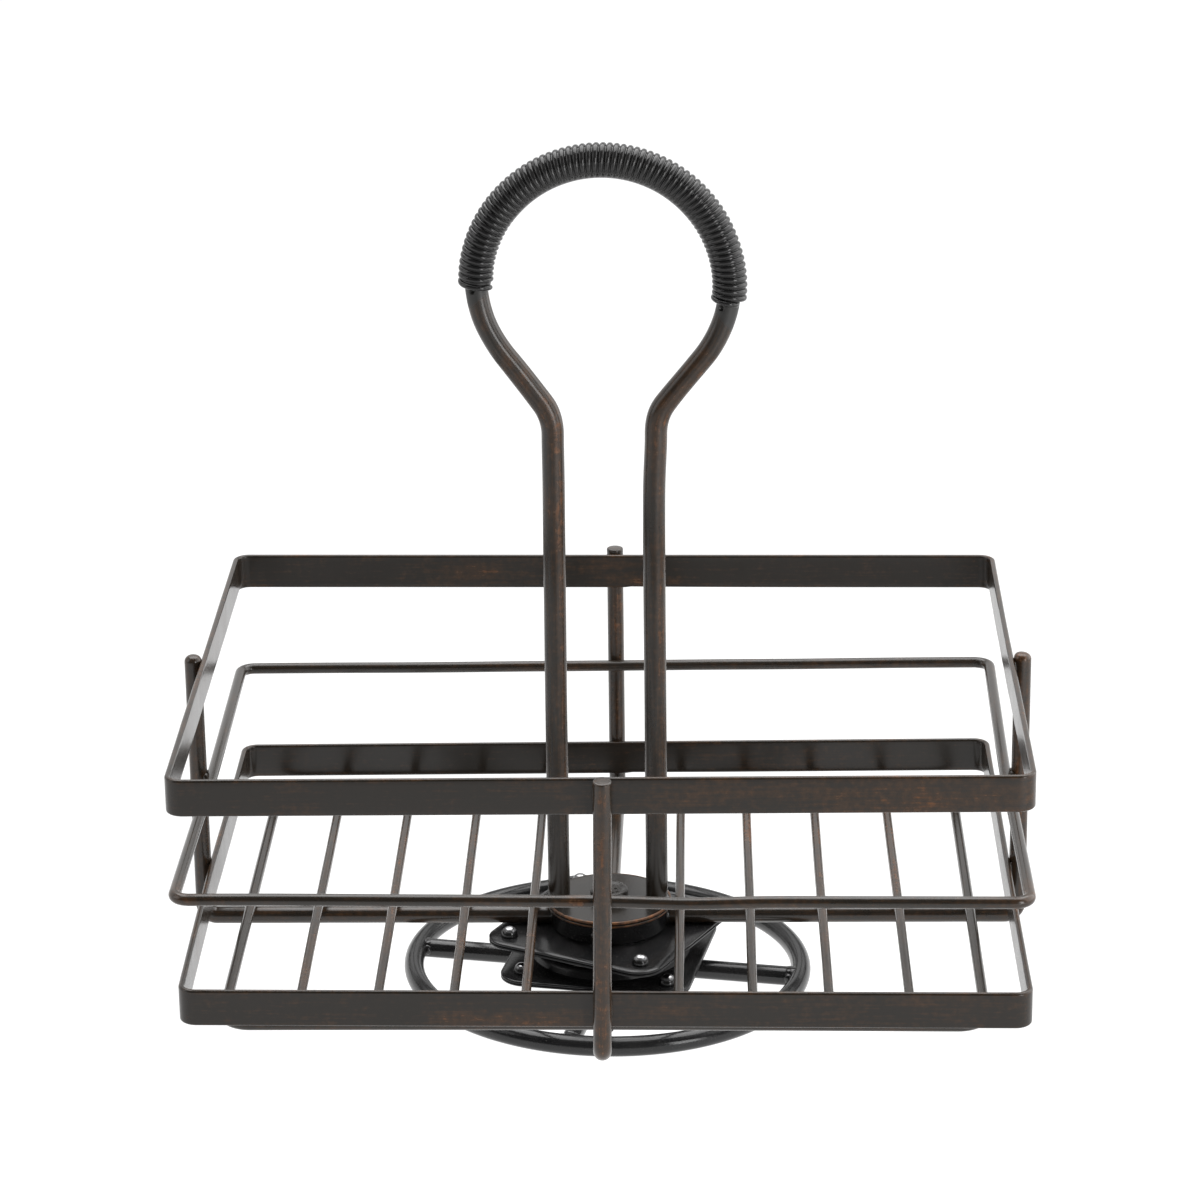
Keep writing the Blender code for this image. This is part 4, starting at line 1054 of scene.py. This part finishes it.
# The rub mark here is partly wear and partly painted light: the patches along the left neck paint
# the pink of its highlight, those down the right sides of the legs paint the light that falls
# there, and the holes are kept unrubbed and dark, painted shade in their shallow dimples.
handle_rub_and_painted_light = patch_sum(handle_grid, [
    (-33, -3.5, 236, 2.6, 4, 6, 0.60), (-27.2, -3.5, 228, 2.6, 4, 6, 0.60),
    (-20.4, -3.5, 218.5, 2.6, 4, 6, 0.60), (-16.5, -3.5, 208, 2.6, 4, 7, 0.60),
    (-17.9, 0, 30, 10, 10, 26, -0.90), (17.9, 0, 30, 10, 10, 26, -0.90),
    (-16.5, -3.5, 185, 2.4, 2.4, 30, 0.34), (30, -3, 212, 12, 4, 20, 0.50),
    (36, -3, 222, 6, 3, 10, 0.45), (-15.5, -3.5, 120, 2, 2.2, 80, 0.55),
    (20, -3.5, 130, 2, 2.2, 80, 0.50), (16.5, -3.5, 60, 3, 2.2, 20, 0.30),
    (-16, 4, 150, 3, 3, 50, 0.45), (19, 4, 100, 3, 3, 50, 0.45)])
handle_rub_and_painted_light -= 2.0 * hole_depth
handle = piece(
    "handle_rod_bent", [shell(handle_grid, marks={"rub": handle_rub_and_painted_light, "matt": dipped})],
    rubbed_bronze("handle_bronze", rough=0.18, worn=0.24, gleam=0.46))
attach(handle, "carrier")
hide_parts("handle_rod")


# ---- Grip ----
# Steel wire, about 2 mm thick, wound close round the top of the loop in 68 turns and dipped
# with it in satin black. The dip has filled the grooves on the inside of the bend.
GRIP_WIRE = 0.00095
GRIP_CREST = 0.0062
GRIP_TURNS = 68
TURN_STEPS = 36
DIVE_TURN = 0.22
DIVE_DEPTH = 0.0024
SLEEVE_END = 0.006
SLEEVE_LOW = HANDLE_ROD + 0.0001


def wound_wire(first_turn, last_turn, side_steps):
    """The wire's skin: an oval carried along a coil that goes round a bent axis.

    At turn t the coil is at bearing b = left + (right - left) * t / turns on the loop and at
    a = 2 pi t round the rod. Its middle lies reach from the rod's axis, and its oval is as high
    as the wire and as wide as the coil's own pitch at that side of the bend. The first half
    turn is pulled down along the rod, and both ends dive into the rod over a quarter turn.
    """
    t = np.linspace(first_turn, last_turn, int((last_turn - first_turn) * TURN_STEPS))
    a = 2 * np.pi * t
    b = GRIP_LEFT + (GRIP_RIGHT - GRIP_LEFT) * t / GRIP_TURNS
    b = b + math.radians(1.4) * np.clip((1 - t) / 0.5, 0, 1.2)
    past = np.maximum(first_turn - t, t - last_turn)
    dive = np.clip(past / DIVE_TURN + 1, 0, 1)
    flare = 0.00035 * np.exp(-(np.minimum(t - first_turn, last_turn - t) / 0.55) ** 2)
    reach = GRIP_CREST - GRIP_WIRE + flare - DIVE_DEPTH * dive ** 1.5
    outward = np.insert(polar(1, b), 1, 0.0, axis=1)
    onward = np.stack([np.sin(b), np.zeros_like(b), -np.cos(b)], -1)
    radial = np.cos(a)[:, None] * outward + np.sin(a)[:, None] * (0, 1, 0)
    centre = (0, 0, LOOP_Z) + LOOP_R * outward + reach[:, None] * radial
    pitch = (LOOP_R + reach * np.cos(a)) * abs(GRIP_RIGHT - GRIP_LEFT) / GRIP_TURNS
    wobble = 1 + 0.03 * np.sin(t * 2.399) * np.cos(a * 0.5)
    phi = whole_turn(side_steps)[:, None]
    high = GRIP_WIRE * np.cos(phi) * radial[:, None]
    wide = (pitch * 0.46 * wobble)[:, None, None] * np.sin(phi) * onward[:, None]
    return hand_bent(centre[:, None] + high + wide)


def dipped_sleeve(rows, sides):
    """The dip between the turns: a sleeve under the wire that rises on the inside of the bend."""
    share = np.linspace(SLEEVE_END, 1 - SLEEVE_END, rows)[:, None]
    a = whole_turn(sides)
    b = GRIP_LEFT + (GRIP_RIGHT - GRIP_LEFT) * share
    inside = np.clip((-np.cos(a) - 0.15) / 0.75, 0, 1)
    high_up = np.clip((np.sin(b) - 0.10) / 0.55, 0, 1)
    radius = GRIP_CREST - 0.00085 + 0.00082 * inside * high_up
    ends = np.clip((np.minimum(share, 1 - share) - SLEEVE_END) / 0.004, 0, 1)
    radius = SLEEVE_LOW + (radius - SLEEVE_LOW) * ends
    distance = LOOP_R + radius * np.cos(a)
    return hand_bent(np.stack([
        distance * np.cos(b), radius * np.sin(a) + 0 * b, LOOP_Z + distance * np.sin(b)], -1))


def satin_black(name):
    """Satin black dip on the wound wire: charcoal, unevenly dark, with a soft sheen."""
    dip = Nodes(bpy.data.materials.new(name))
    fine = dip.noise(1300.0, 3.0)
    return dip.coat(
        dip.ramp(dip.noise(60.0, 4.0, 0.6), 0.32, 0.72,
                 (0.0085, 0.0083, 0.0085), (0.0190, 0.0182, 0.0180)),
        dip.spread(fine, 0.3, 0.7, 0.13, 0.22), gleam=0.43, relief=(fine, 0.14, 0.00006))


grip = piece("handle_grip_winding", [
    shell(wound_wire(0.40, GRIP_TURNS - 0.06, 12)), shell(dipped_sleeve(260, 40))],
    satin_black("grip_satin"), sharp=70.0)
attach(grip, "carrier")
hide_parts("handle_grip")


# ---- Welds of the basket ----
# Every crossing of two rods or strips is welded. The fillets are small and lumpy, filled up by
# the dark coat. The largest are at the uprights, the smallest where the floor wires cross.
lumps = []
seed = 300
for sign, lean in ((1, 0.00080), (-1, 0.00065)):
    for foot in (0.1105, 0.0325):
        for offset in (1, -1):
            seed += 1
            lumps.append(weld_lump(
                (offset * 0.0022 + lean, sign * (BAND_Y + 0.0003), foot + 0.0060),
                (0.0010, 0.0009, 0.0052), seed))
            lumps.append(weld_lump(
                (sign * (BAND_X + 0.0003), offset * 0.0022, foot + 0.0060),
                (0.0009, 0.0010, 0.0052), seed + 50))
        seed += 1
        lumps.append(weld_lump(
            (lean, sign * (BAND_Y - 0.0002), foot - 0.0002), (0.0026, 0.0014, 0.0009), seed))
        lumps.append(weld_lump(
            (sign * (BAND_X - 0.0002), 0.0003, foot - 0.0002), (0.0014, 0.0026, 0.0009),
            seed + 50))
    for offset in (1, -1):
        seed += 1
        lumps.append(weld_lump(
            (offset * 0.0019 + lean, sign * (BAND_Y + 0.0001), RAIL_LEVEL - 0.0003),
            (0.0012, 0.0010, 0.0014), seed))
        lumps.append(weld_lump(
            (sign * (BAND_X + 0.0001), offset * 0.0017, RAIL_LEVEL),
            (0.0011, 0.0014, 0.0016), seed + 50))
    seed += 1
    for offset in (1, -1):
        lumps.append(weld_lump(
            (offset * 0.0016 + lean, sign * LOOP_Y, LOOP_LEVEL - 0.0019),
            (0.0013, 0.0014, 0.0010), seed + offset))
        lumps.append(weld_lump(
            (sign * LOOP_X, offset * 0.0016, LOOP_LEVEL - 0.0019),
            (0.0014, 0.0013, 0.0010), seed + 9 + offset))
    for step in (-4, -3, -2, -1, 1, 2, 3, 4):
        seed += 1
        lumps.append(weld_lump(
            (step * WIRE_PITCH, sign * (LOOP_Y - 0.0002), CROSS_LEVEL - 0.0016),
            (0.0016, 0.0017, 0.0008), seed, rows=7, columns=12))
basket_welds = piece("basket_welds", lumps, rubbed_bronze(
    "basket_weld_bronze", copper=0.6, streaks=False))
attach(basket_welds, "carrier")


# ---- Welds of the hub ----
# A ring of weld runs round the foot of each leg on the disc, and round the end of each floor
# rod where it meets the drum. The legs' feet stand a little to the left, as they were bent.
FOOT_ASIDE = -0.00045


def weld_collar(centre, axis, across, up, inner, spread, rise, seed, sides=36):
    """A fillet round a rod: a small arc from the rod's side down to the plate, carried round it.

    The arc's radius and height swell by a few waves as it goes round, as a hand-laid weld does.
    """
    a = whole_turn(sides)
    swell = 1 + 0.16 * slow_waves(a, seed, 2 * np.pi, 4) * np.sin(a / 2) ** 2
    bow = np.linspace(0, np.pi / 2, 6)
    out = np.array([-0.0004, -0.0004, *(spread * (1 - np.cos(bow)))])[:, None, None]
    high = np.array([0.0, rise, *(rise * (1 - np.sin(bow)))])[:, None, None]
    ring = np.cos(a)[:, None] * across + np.sin(a)[:, None] * up
    grid = centre + ring * (inner + out * swell[:, None]) + high * swell[:, None] * axis
    return shell(grid, path_closed=True)


collars = []
for number, leg_x in enumerate((LEG_X, -LEG_X)):
    collars.append(weld_collar(
        np.array([leg_x + FOOT_ASIDE, 0, DISC_TOP - 0.0001]), UP, np.array([1, 0, 0]),
        np.array([0, 1, 0]), HANDLE_ROD, 0.0009, 0.0014, 5 + number))
for number in range(4):
    out = np.append(polar(1, number * math.pi / 2), 0.0)
    aside = FRONT_ASIDE * (1 - DRUM_RADIUS / UPRIGHT_Y) if number == 3 else 0.0
    collars.append(weld_collar(
        out * (DRUM_RADIUS - 0.0002) + (aside, 0, FLOOR_ROD_LEVEL), out,
        np.array([-out[1], out[0], 0]), UP, ROD, 0.0008, 0.0012, 15 + number))
hub_welds = piece("hub_welds", collars, rubbed_bronze(
    "hub_weld_bronze", copper=0.2, rough=0.13, worn=-0.30, streaks=False,
    dark_top=(0.010, 0.0095, 0.0090)))
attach(hub_welds, "carrier")
